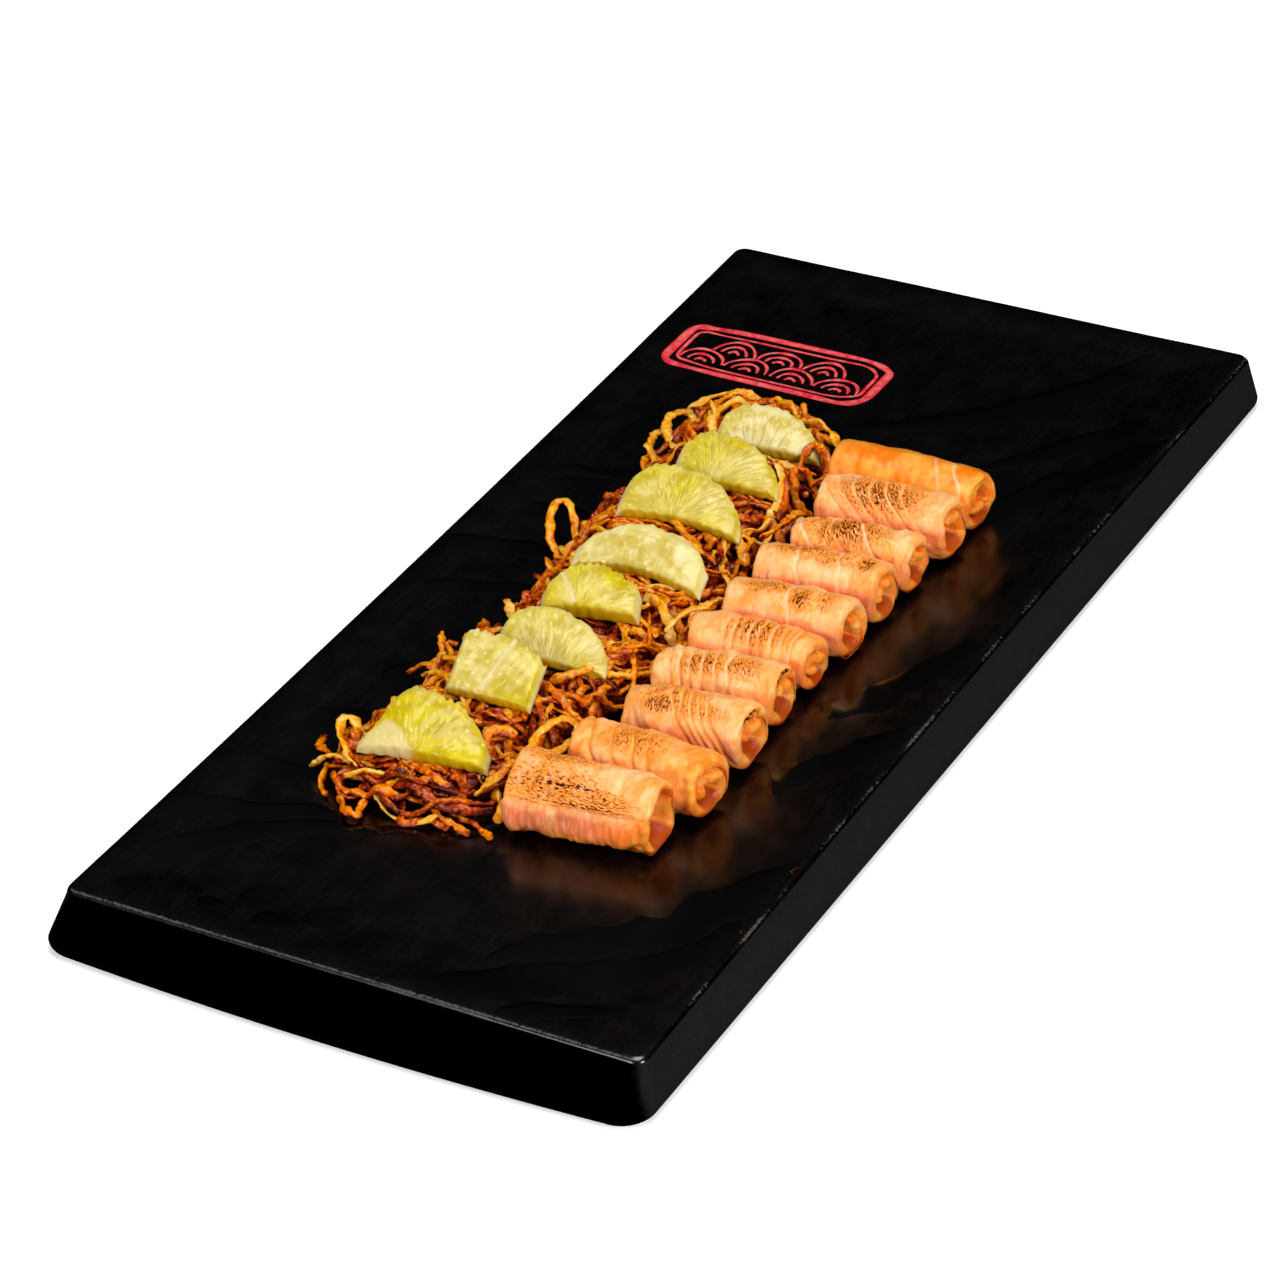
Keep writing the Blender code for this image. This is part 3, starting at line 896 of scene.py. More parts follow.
class StrokeEnd(Enum):
    """How a brush stroke starts: pressed down at once, eased in, or a single oval dab."""

    BLUNT = "blunt"
    POINTED = "pointed"
    DAB = "dab"


@dataclass(frozen=True)
class Stroke:
    """One stroke of a loaded brush: the places it passes, its widest width, how it starts, and the share of
    its width that is left where it ends."""

    way: tuple[Pair, ...]
    width: float
    start: StrokeEnd = StrokeEnd.BLUNT
    last: float = 0.0


@dataclass
class BrushWork:
    """The glossy black strokes that sweep in from the slab's sides, with a sprig of buds near one corner.
    """

    slab: Slab
    thickness: float = 0.07
    seed: int = 21
    strokes: tuple[Stroke, ...] = (
        Stroke(((-89, 47), (-70, 57), (-40, 62)), 7, last=0.5),
        Stroke(((-89, 24), (-72, 31), (-40, 34)), 12, last=0.5),
        Stroke(((-86, 4), (-76, 8), (-64, 11), (-44, 14)), 11, last=0.6),
        Stroke(((-91, -28), (-77, -19), (-64, -12), (-42, -6)), 10, last=0.6),
        Stroke(((-89, -98), (-79, -93), (-60, -86), (-40, -80)), 14, last=0.6),
        Stroke(((-93, -121), (-77, -116), (-57, -114), (-36, -108)), 11, last=0.6),
        Stroke(((-93, -147), (-82, -141), (-65, -135), (-38, -126)), 12, last=0.4),
        Stroke(((-92, -190), (-82, -172), (-69, -154), (-53, -140), (-38, -132), (2, -119)), 12, last=0.2),
        Stroke(((30, -168), (38, -160), (67, -138), (75, -124), (92, -98)), 17, StrokeEnd.POINTED, 1.0),
        Stroke(((-5, -189), (16, -186), (44, -171), (75, -151), (91, -129)), 15, StrokeEnd.POINTED, 1.0),
        Stroke(((46, -188), (58, -180), (88, -166)), 9),
        Stroke(((58, -68), (74, -49), (91, -24)), 13, last=0.9),
        Stroke(((54, -30), (73, -10), (85, 20)), 14, last=0.6),
        Stroke(((-10, 108), (24, 130), (47, 153), (66, 186)), 15, StrokeEnd.POINTED, 0.7),
        Stroke(((32, 96), (56, 120), (70, 139), (86, 156)), 12, StrokeEnd.POINTED, 0.7),
        Stroke(((55, 78), (65, 101), (79, 120), (91, 144)), 14, last=0.8),
    )
    buds: tuple[tuple[float, float, float, float, float], ...] = (
        (-51, -177, 9, 7, 24), (-39, -168, 13, 12, 30), (-30, -177, 13, 9, 20), (-17, -169, 14, 12, 35),
        (-62, -61, 10, 13, 20),
    )
    stems: tuple[Stroke, ...] = (
        Stroke(((-36, -166), (-10, -152), (12, -136)), 1.1, StrokeEnd.POINTED),
        Stroke(((-44, -188), (-28, -177), (-14, -169), (12, -154)), 1.0, StrokeEnd.POINTED),
        Stroke(((-66, -184), (-51, -177), (-39, -169)), 1.0, StrokeEnd.POINTED),
        Stroke(((-90, -70), (-62, -61)), 1.3),
        Stroke(((-88, -53), (-60, -43)), 0.7, StrokeEnd.POINTED),
    )

    def reach(self, stroke: Stroke, share: Array) -> Array:
        """Half width along a stroke: the square root of the distance from a blunt start, a quarter sine
        from a pointed one, or the half width of an oval for a dab; then a fall to the width that is left at
        the end.

        Args:
            stroke: the stroke.
            share: places along it, from 0 to 1.

        Returns:
            Half its width at each place.
        """
        if stroke.start is StrokeEnd.DAB:
            return stroke.width / 2 * np.sqrt(np.clip(1 - (2 * share - 1) ** 2, 0, 1))
        rise = np.sqrt(np.clip(share / 0.08, 0, 1))
        if stroke.start is StrokeEnd.POINTED:
            rise = np.sin(np.pi / 2 * np.clip(share / 0.6, 0, 1))
        fall = stroke.last + (1 - stroke.last) * np.clip((1 - share) / 0.6, 0, 1) ** 0.7
        return stroke.width / 2 * rise * fall

    def add_stroke(self, surface: Surface, stroke: Stroke, seed: int) -> None:
        """Adds one stroke along a curve through its places; its edges waver and its section is a low arch
        whose edges dip into the ground glaze.

        Args:
            surface: takes the stroke's grid.
            stroke: its places and width.
            seed: fixes how its edges waver.
        """
        count = 80
        middle = through(list(stroke.way), count)
        slope = np.gradient(middle, axis=0)
        slope /= np.linalg.norm(slope, axis=1)[:, None]
        side = np.stack([-slope[:, 1], slope[:, 0]], -1)
        share = np.linspace(0, 1, count)
        half = self.reach(stroke, share)
        across = np.linspace(-1, 1, 9)
        edge = np.stack([middle[:, 0] / 9 + seed, middle[:, 1] / 9], -1)
        waver = [1 + 0.16 * smooth_noise(edge, 1.6, seed + k) for k in (0, 1)]
        reach = half[:, None] * np.where(across < 0, waver[0][:, None], waver[1][:, None]) * across
        spot = middle[:, None] + side[:, None] * reach[..., None]
        spot = self.slab.held(spot)
        level = self.slab.height(spot[..., 0], spot[..., 1])
        arch = self.thickness * (np.sqrt(np.clip(1 - across**4, 0, 1)) - 0.25)
        tips = np.clip(half / 3, 0, 1)[:, None]
        z = level + arch * tips - 0.02 * (1 - tips)
        along = np.stack(np.broadcast_arrays(share[:, None] * 100, reach, 0 * reach + seed), -1) * MM
        surface.add_grid(np.concatenate([spot, z[..., None]], -1) * MM, flip=True, stroke=along)

    def build(self) -> None:
        """Builds the strokes, and the sprigs of buds, as two thin pieces on the slab."""
        gloss = BrushedGlaze().make()
        sweep = Surface()
        for i, stroke in enumerate(self.strokes):
            self.add_stroke(sweep, stroke, self.seed + i)
        place(sweep.build("glaze_strokes", [gloss], outward=False), "stoneware")
        sprig = Surface()
        for i, stem in enumerate(self.stems):
            self.add_stroke(sprig, stem, self.seed + 40 + i)
        for i, (x, y, length, width, heading) in enumerate(self.buds):
            turn = np.radians(heading)
            head = np.array([np.cos(turn), np.sin(turn)]) * length / 2
            way = ((x - head[0], y - head[1]), (x, y), (x + head[0], y + head[1]))
            self.add_stroke(sprig, Stroke(way, width, StrokeEnd.DAB), self.seed + 60 + i)
        place(sprig.build("glaze_sprigs", [gloss], outward=False), "stoneware")


@dataclass
class PaintedWaves:
    """A generic mark in red: a rounded frame, painted by hand, round two rows of fan-shaped waves. Sizes in
    millimetres."""

    slab: Slab
    middle: Pair = (-43.5, 136.5)
    size: Pair = (70.0, 26.0)
    squareness: float = 0.28
    frame_line: float = 2.6
    radius: float = 8.0
    line: float = 1.6
    arcs: tuple[float, ...] = (0.92, 0.56, 0.22)
    thickness: float = 0.1

    def build(self) -> None:
        """Builds the frame's two lines and every wave's arcs as thin low ribbons."""
        surface = Surface()
        self.add_frame(surface, 0.0, self.frame_line, 1)
        self.add_frame(surface, 3.0, self.frame_line * 0.4, 2)
        places = [(-3, 0), (-1, 0), (1, 0), (3, 0), (-2, 0.95), (0, 0.95), (2, 0.95)]
        for column, row in places:
            for share in self.arcs:
                self.add_arc(surface, column * self.radius, (row - 0.95) * self.radius, self.radius * share)
        place(surface.build("painted_waves", [RedEnamel().make()], outward=False), "stoneware")

    def lay(self, surface: Surface, flat: Array, across: Array, wrap: bool) -> None:
        """Lays a ribbon on the slab, with an arched section that dips into the glaze at its edges.

        Args:
            surface: takes the ribbon's grid.
            flat: its places in plan, from the mark's middle.
            across: each column's place across it, from -1 to 1.
            wrap: joins its ends.
        """
        spot = flat + np.array(self.middle)
        arch = self.thickness * (np.sqrt(1 - across**4) - 0.2)
        z = self.slab.height(spot[..., 0], spot[..., 1]) + arch[:, None] + 0.14
        middle = np.broadcast_to((1 - across**2)[:, None], z.shape)
        surface.add_grid(np.concatenate([spot, z[..., None]], -1) * MM, wrap=wrap, flip=True, middle=middle)

    def add_frame(self, surface: Surface, inset: float, line: float, seed: int) -> None:
        """Adds a closed line round the mark: a superellipse with rounded corners, its width wavering.

        Args:
            surface: takes the line's grid.
            inset: how far it lies inside the frame's outline.
            line: its width.
            seed: fixes how it wavers.
        """
        angle = np.linspace(0, 2 * np.pi, 160, endpoint=False)
        across = np.linspace(-1, 1, 7)
        half = line / 2 * (1 + 0.3 * np.sin(3 * angle + seed) * np.cos(5 * angle))
        shape = signed_power(np.stack([np.cos(angle), np.sin(angle)], -1), self.squareness)
        waver = 0.5 * np.stack([np.sin(3 * angle + seed), np.cos(4 * angle + seed)], -1)
        way = shape * (np.array(self.size) / 2 - inset) + waver
        slope = np.roll(way, -1, axis=0) - np.roll(way, 1, axis=0)
        slope /= np.linalg.norm(slope, axis=1)[:, None]
        normal = np.stack([slope[:, 1], -slope[:, 0]], -1)
        flat = way + normal * (half * across[:, None])[..., None]
        self.lay(surface, flat, across, True)

    def add_arc(self, surface: Surface, x: float, y: float, radius: float) -> None:
        """Adds a half circle of a radius about a place, its line thicker at the crown.

        Args:
            surface: takes the arc's grid.
            x: middle of the arc, from the mark's middle.
            y: foot of the arc, from the mark's middle.
            radius: radius of the line's middle.
        """
        angle = np.linspace(0.06, np.pi - 0.06, 48)
        across = np.linspace(-1, 1, 7)
        wobble = 1 + 0.04 * np.sin(3 * angle + x)
        half = self.line / 2 * (0.55 + 0.45 * np.sin(angle)) * (0.8 + 0.2 * np.sin(5 * angle + y))
        far = radius * wobble + half * across[:, None]
        self.lay(surface, np.stack([x + far * np.cos(angle), y + far * np.sin(angle)], -1), across, False)


# ---- salmon


class Lay(Enum):
    """Which way the char marks run on a slice, in degrees from round the roll towards its length."""

    ROUND = 0.0
    SLANTED = 38.0
    LENGTHWISE = 82.0


@dataclass(frozen=True)
class Patch:
    """A soft patch on a roll: its middle and reach, as a share of the length and as degrees round, and its
    strength."""

    along: float
    round: float
    reach: float
    spread: float
    strength: float = 1.0


@dataclass
class SalmonRoll:
    """One rolled salmon slice, sized as the solid it stands for; angles are degrees.

    The slice is a spiral sheet: its lip lies at an angle counted from the far side over the top, each turn
    lies inside the one before, and the section is a superellipse of the given squareness."""

    index: int
    yaw: float
    length: float
    width: float
    height: float
    turns: float = 1.35
    lip: float = 262
    wall: float = 3.2
    square: float = 2.2
    flare: float = 0.0
    rise: float = 0.0
    left: float = 0.16
    right: float = 0.1
    slant: float = 1.5
    grooves: tuple[float, ...] = ()
    groove_depth: float = 0.45
    groove_slant: float = 0.1
    # Share of raw orange painted into the grooves as shade.
    groove_shade_strength: float = 0.0
    pink: float = 0.7
    warm: float = 0.1
    warm_patches: tuple[Patch, ...] = ()
    sear: tuple[Patch, ...] = ()
    marks: Lay = Lay.ROUND
    fold: float = 0.0
    flap: float = 0.0
    ragged: float = 0.35
    crumple: float = 0.0
    ribs: float = 0.0
    layer_gap: float = 0.45
    # Sine of the angle below which painted shade begins on the underside.
    painted_shade_from: float = 0.3
    lip_share: float = 0.12
    step: float = 0.42

    def middle(self, around: Array, along: Array) -> tuple[Array, Array]:
        """The slice's middle surface: a superellipse whose half sizes shrink by one wall as each turn ends
        and the slice slips under itself.

        Args:
            around: 0 at the outer lip to 1 at the inner end.
            along: 0 at the left end to 1 at the right end.

        Returns:
            Points in millimetres, and the angle of each in degrees from the far side.
        """
        turn = around * self.turns
        angle = np.radians(self.lip) + turn * 2 * np.pi
        shrink = self.lip_share * self.wall * sum(smoothstep(k - 0.2, k, turn) for k in (1, 2))
        inset = self.wall * (1 - self.lip_share) + self.layer_gap
        shrink = shrink + inset * sum(smoothstep(k, k + 0.3, turn) for k in (1, 2))
        scale = 1 - self.left * (1 - along) ** 4 - self.right * along**4
        half_width = (self.width - self.wall) / 2 * scale * (1 + self.flare * (1 - 2 * along)) - shrink
        half_height = (self.height - self.wall) / 2 * scale - shrink
        across = signed_power(np.cos(angle), 2 / self.square)
        up = signed_power(np.sin(angle), 2 / self.square)
        side = across * (1 - 0.05 * up)
        level = (1 + up) * (1 + self.rise * across) - 1
        x = (along - 0.5) * (self.length + self.slant * across)
        z = half_height * level - (1 - scale) * self.height / 3
        return np.stack([x, half_width * side, z], -1), np.degrees(angle)

    def samples(self, reach: float) -> Array:
        """Shares along an edge: closely spaced on a quarter circle at both ends, even between.

        Args:
            reach: the edge's length.

        Returns:
            The shares, from 0 to 1.
        """
        cap = min(self.wall / 2 / reach, 0.4)
        bend = cap * (1 - np.cos(np.linspace(0, np.pi / 2, 6)))
        inner = np.linspace(cap, 1 - cap, max(int(reach / self.step), 8))[1:-1]
        return np.concatenate([bend, inner, 1 - bend[::-1]])

    def roundness(self, share: Array, reach: float) -> Array:
        """Thickness near an edge as a share of the full wall: the sine of a quarter circle's arc."""
        near = np.minimum(share, 1 - share) * reach / (self.wall / 2)
        return np.sqrt(np.clip(1 - (1 - np.clip(near, 0, 1)) ** 2, 0, 1))

    def groove_lines(
        self, along: Array, arc: Array, angle: Array, breadth: float
    ) -> Array:
        """How near each place is to a groove: a bell about each groove, which slants with the sine of the
        angle round and wavers.

        Args:
            along: share of the length.
            arc: distance round, in millimetres.
            angle: degrees from the far side.
            breadth: the bell's breadth in millimetres.

        Returns:
            0 away from grooves to 1 in one.
        """
        lean = self.groove_slant * np.sin(np.radians(angle - 90) * 0.8)
        waver = 0.01 * smooth_noise(np.stack([arc / 6, along * 4], -1), 1.5, self.index + 50)
        total = np.zeros_like(along)
        for i, spot in enumerate(self.grooves):
            weight = 0.75 + 0.25 * math.sin(3.1 * i + self.index)
            offset = (along - spot - lean - waver) * self.length / breadth
            total = np.maximum(total, weight * np.exp(-(offset**2)))
        return total

    def relief(self, arc: Array, along: Array, angle: Array) -> Array:
        """How far the outer face stands off the even sheet: minus a bell at each groove, plus soft lumps, a
        step down at the fold, and creases where the slice is crumpled.

        Args:
            arc: distance round, in millimetres.
            along: share of the length.
            angle: degrees from the far side.

        Returns:
            Millimetres outwards.
        """
        where = np.stack([arc, along * self.length], -1)
        push = -self.groove_depth * self.groove_lines(along, arc, angle, 1.0)
        push += 0.45 * smooth_noise(where, 13, self.index) + 0.12 * smooth_noise(where, 4, self.index + 20)
        if self.crumple:
            push += self.crumple * (1 - 2 * np.abs(smooth_noise(where * [0.45, 1.0], 7, self.index + 30, 5)))
        if self.ribs:
            bearing = np.radians(angle)
            front = smoothstep(-0.1, -0.6, np.cos(bearing)) * smoothstep(0.75, 0.35, np.sin(bearing))
            push += self.ribs * front * smooth_noise(where * [0.3, 1.0], 2.4, self.index + 60)
        if self.fold:
            edge = self.fold + 2.5 * smooth_noise(along[..., None] * self.length, 16, self.index + 40)
            push -= 0.55 * smoothstep(-2.5, 2.5, angle % 360 - edge) * (angle % 360 < 240)
        return push

    def spread(self, patches: tuple[Patch, ...], along: Array, angle: Array) -> Array:
        """The strongest of some soft patches at each place, each a bell in length and angle.

        Args:
            patches: the patches.
            along: share of the length.
            angle: degrees from the far side.

        Returns:
            The strength at each place.
        """
        total = np.zeros_like(along)
        for patch in patches:
            turned = (angle - patch.round + 180) % 360 - 180
            bell = ((along - patch.along) / patch.reach) ** 2 + (turned / patch.spread) ** 2
            total = np.maximum(total, patch.strength * np.exp(-(bell**1.5)))
        return total

    def shape(
        self, arc: Array, row: Array, column: Array
    ) -> tuple[Array, Array, Array]:
        """Both faces of the slice: the middle surface with torn ends and a loose lip, moved out and in by
        half the wall, which thins to nothing along every edge; away from the right end the innermost turn
        closes.

        Args:
            arc: distance round, in millimetres.
            row: share of the way round from the lip.
            column: share of the length.

        Returns:
            The outer face, the inner face, and the angles.
        """
        girth = arc.max()
        sheet, angle = self.middle(row, column)
        normal = np.cross(np.gradient(sheet, axis=0), np.gradient(sheet, axis=1))
        normal /= np.linalg.norm(normal, axis=-1, keepdims=True) + 1e-9
        if np.sum(normal * (sheet - sheet.mean(axis=0, keepdims=True))) < 0:
            normal = -normal
        turned = row * self.turns
        outside = np.maximum(1 - smoothstep(self.turns - 0.35, self.turns, turned), 0.25)
        seam = smoothstep(0, 0.12, np.abs(turned - np.round(turned)))
        push = self.relief(arc, column, angle) * outside * seam
        ends = smoothstep(0.8, 1, column) - smoothstep(0.12, 0, column) * 0.6
        bearing = np.radians(angle)
        where = self.width / 2 * np.stack([np.cos(bearing), np.sin(bearing), 0.08 * turned], -1)
        tear = smooth_noise(where, 15, self.index + 70) + 0.35 * smooth_noise(where, 5, self.index + 80)
        sheet[..., 0] += self.ragged * tear * ends
        loose = smoothstep(0.07, 0, turned) * smoothstep(0.45, 0.85, column)
        flutter = 1 + 0.4 * smooth_noise(column[..., None] * self.length, 6, self.index)
        sheet[..., 1] -= self.flap * loose * flutter
        skin = self.roundness(row, girth) * self.roundness(column, self.length)
        thin = self.lip_share + (1 - self.lip_share) * smoothstep(0, 0.3, turned)
        tuck = self.wall / 2 * (1 - thin) * self.roundness(column, self.length)
        sheet = sheet + normal * tuck[..., None]
        half = self.wall / 2 * skin * thin
        outer = sheet + normal * (half + push * skin)[..., None]
        inner = sheet + normal * (0.4 * push * skin - half * (1 - 0.15 * (1 - skin)))[..., None]
        core = 0.8 * smoothstep(self.turns - 1.0, self.turns - 0.85, turned) * skin
        core *= smoothstep(1.0, 0.72, column) * smoothstep(0.0, 0.1, column)
        axis = np.stack([inner[..., 0], 0 * arc - 0.3, 0 * arc], -1)
        return outer, inner + (axis - inner) * core[..., None], angle

    def build(self, finish: Material) -> Object:
        """Builds the slice as an outer and an inner face that meet along rounded edges, and dresses it.

        Args:
            finish: the flesh.

        Returns:
            The slice.
        """
        girth = np.pi * (self.width + self.height) / 2 * self.turns * 0.86
        row, column = np.meshgrid(self.samples(girth), self.samples(self.length), indexing="ij")
        arc = row * girth
        outer, inner, angle = self.shape(arc, row, column)
        base = min(outer[..., 2].min(), inner[..., 2].min())
        low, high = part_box(f"salmon_roll_{self.index:02d}")
        turn = np.radians(self.yaw)
        spin = np.array([[np.cos(turn), np.sin(turn), 0], [-np.sin(turn), np.cos(turn), 0], [0, 0, 1]])
        shift = np.array([(low.x + high.x) / 2, (low.y + high.y) / 2, low.z]) / MM

        turned = row * self.turns
        lines = self.groove_lines(column, arc, angle, 0.45)
        sear = self.spread(self.sear, column, angle) * (turned < 1) * (1 - lines)
        # Painted shade: the grooves take the raw orange, as shade in the creases, in place of their pale
        # lines.
        painted_groove_shade = self.groove_shade_strength * self.groove_lines(column, arc, angle, 1.1)
        warm = np.clip(self.warm + self.spread(self.warm_patches, column, angle) + painted_groove_shade, 0, 1)
        lines = lines * (1 - self.groove_shade_strength)
        deep = smoothstep(0.85, 1.1, turned)
        # Painted shade: faces turned down, below a set sine of the angle, take the raw orange, as shade under
        # the roll.
        under = smoothstep(self.painted_shade_from, -0.95, np.sin(np.radians(angle)))
        # Painted shade: a deep red band along the lowest few millimetres, where the roll meets the slab.
        lowest = smoothstep(4.0, 2.0, outer[..., 2] - base) * (turned < 1.2)
        lay = np.radians(self.marks.value)
        x = column * self.length
        run = arc * np.cos(lay) + x * np.sin(lay)
        across = x * np.cos(lay) - arc * np.sin(lay)
        surface = Surface()
        for face, side in ((outer, 0.0), (inner, 1.0)):
            inside = np.clip(deep + side, 0, 1)
            edge = smoothstep(0.94, 1.0, column) * (1 - side)
            # The raw orange share is partly real raw flesh, on lightly seared rolls, the torn right end and
            # the unseared inside of the spiral, and partly painted shade under the roll, in the grooves and
            # deep in the spiral.
            raw_and_painted_shade = np.clip(np.maximum(np.maximum(warm, inside * 0.9), under * 0.95) + 0.25 * edge, 0, 1)
            flush = np.clip(self.pink * smoothstep(0.75, 0.1, np.sin(np.radians(angle))) + 0.15, 0, 1)
            surface.add_grid(
                ((face - [0, 0, base]) @ spin + shift) * MM,
                flip=bool(side),
                sheet=np.stack([arc, x, 0 * arc + self.index * 40 + side * 7], -1) * MM,
                marks=np.stack([run, across, 0 * arc + self.index * 40], -1) * MM,
                tint=np.stack([flush * (1 - inside), raw_and_painted_shade, lines * (1 - inside)], -1),
                sear=sear * (1 - side),
                under=0.8 * lowest,
            )
        piece = surface.build(f"salmon_slice_{self.index:02d}", [finish])
        place(piece, "salmon", f"salmon_roll_{self.index:02d}")
        return piece


@dataclass
class SalmonRow:
    """The ten rolled slices, from the near end of the slab to the far end."""

    rolls: tuple[SalmonRoll, ...] = (
        SalmonRoll(
            1, 5, 44, 20.5, 18.5, 1.15, 318, 3.2, 2.7, 0.12, 0.2, 0, 0,
            # Both warm patches paint the raw orange on the near lower side, as shade under the roll.
            pink=1.0, warm=0.0, warm_patches=(Patch(1.0, 200, 0.36, 60, 0.95), Patch(0.5, 216, 1.3, 19, 1.0)),
            fold=142, ribs=0.16, painted_shade_from=-0.5, marks=Lay.LENGTHWISE,
            sear=(
                Patch(0.3, 112, 0.44, 38, 0.92), Patch(0.66, 122, 0.3, 24, 0.92),
                Patch(0.44, 104, 0.36, 4, 1.3), Patch(0.55, 136, 0.45, 4, 1.25),
                Patch(0.3, 60, 0.34, 26, 0.84),
            ),
        ),
        SalmonRoll(
            2, -3, 43, 20, 19, 1.75, 312, 4.0,
            grooves=(0.3, 0.47, 0.62, 0.74), groove_depth=0.7, groove_slant=0.2, groove_shade_strength=0.9,
            pink=0.8, warm=0.15,
            warm_patches=(Patch(1.0, 120, 0.35, 110, 0.7), Patch(0.0, 90, 0.15, 90, 0.5)),
            sear=(Patch(0.45, 100, 0.3, 38, 0.85),), marks=Lay.SLANTED,
        ),
        SalmonRoll(
            3, 4, 39, 20, 19.5, 1.6, 322, 4.2, left=0.3,
            grooves=(0.58, 0.65, 0.72, 0.79, 0.86), groove_slant=0.22, groove_depth=0.75, groove_shade_strength=0.75,
            pink=0.4, warm=0.0, flap=0.3,
            sear=(
                Patch(0.32, 118, 0.17, 26, 1.1), Patch(0.4, 95, 0.3, 40, 0.85),
                Patch(0.62, 120, 0.3, 22, 0.85), Patch(0.992, 100, 0.014, 42, 1.25),
            ),
        ),
        SalmonRoll(
            4, 6, 39, 19, 18.5, 1.55, 316, 4.0, left=0.28,
            grooves=(0.2, 0.28, 0.37, 0.46, 0.56, 0.66), groove_depth=0.7, groove_slant=0.08,
            groove_shade_strength=0.35, pink=0.45, warm=0.03,
            warm_patches=(Patch(1.0, 160, 0.25, 90, 0.45),),
            sear=(
                Patch(0.4, 110, 0.26, 34, 1.0), Patch(0.7, 105, 0.2, 32, 0.9),
                Patch(0.995, 90, 0.012, 55, 1.3),
            ),
            marks=Lay.SLANTED,
        ),
        SalmonRoll(
            5, 4, 39, 18.2, 18, 1.9, 310, 3.8, right=0.22,
            grooves=(0.33, 0.4, 0.475, 0.55, 0.625, 0.7, 0.78, 0.87), groove_slant=0.04, groove_depth=0.6,
            groove_shade_strength=0.5, pink=0.8, warm=0.12,
            warm_patches=(Patch(0.85, 120, 0.3, 70, 0.35), Patch(0.0, 150, 0.14, 90, 0.5)),
            sear=(Patch(0.55, 105, 0.3, 44, 1.02),),
        ),
        SalmonRoll(
            6, 4, 39, 18.5, 18.5, 1.6, 256, 3.8,
            grooves=(0.6,), pink=0.8, warm=0.05, flap=1.2,
            sear=(
                Patch(0.35, 88, 0.3, 30, 0.85), Patch(0.62, 108, 0.1, 32, 1.1), Patch(0.8, 100, 0.1, 36, 0.8),
            ),
        ),
        SalmonRoll(
            7, 5, 40, 19, 18.5, 1.7, 314, 3.8,
            grooves=(0.42, 0.75), groove_depth=0.3, pink=1.0, warm=0.0,
            warm_patches=(Patch(1.0, 100, 0.2, 60, 0.35),),
            sear=(
                Patch(0.35, 80, 0.28, 24, 0.95), Patch(0.85, 88, 0.08, 26, 1.1),
                Patch(0.6, 95, 0.3, 30, 0.75),
            ),
        ),
        SalmonRoll(
            8, 6, 39, 17.5, 18, 1.5, 324, 3.6, right=0.16, crumple=0.35,
            grooves=(0.3, 0.55, 0.8), groove_slant=0.25, pink=0.5, warm=0.0, ragged=0.7,
            sear=(Patch(0.45, 105, 0.36, 50, 1.05),), marks=Lay.SLANTED,
        ),
        SalmonRoll(
            9, 4, 42, 18.8, 19, 1.5, 318, 3.6, square=2.6, left=0.08,
            grooves=(0.3, 0.42, 0.54, 0.66, 0.78, 0.9), groove_slant=0.3, groove_depth=0.4, groove_shade_strength=0.4,
            pink=0.6, warm=0.0, ragged=0.6, sear=(Patch(0.5, 112, 0.38, 50, 1.05),), marks=Lay.SLANTED,
        ),
        SalmonRoll(
            10, 1, 47, 19.6, 18.5, 1.8, 70, 3.6, square=2.5, flare=0.05, left=0.06, right=0.12,
            grooves=(0.7, 0.82), groove_depth=0.12, groove_slant=0.15, pink=0.1, warm=1.0,
        ),
    )

    def build(self) -> None:
        """Builds every roll in one shared finish."""
        finish = SearedSalmon().make()
        for roll in self.rolls:
            roll.build(finish)


# ---- lime


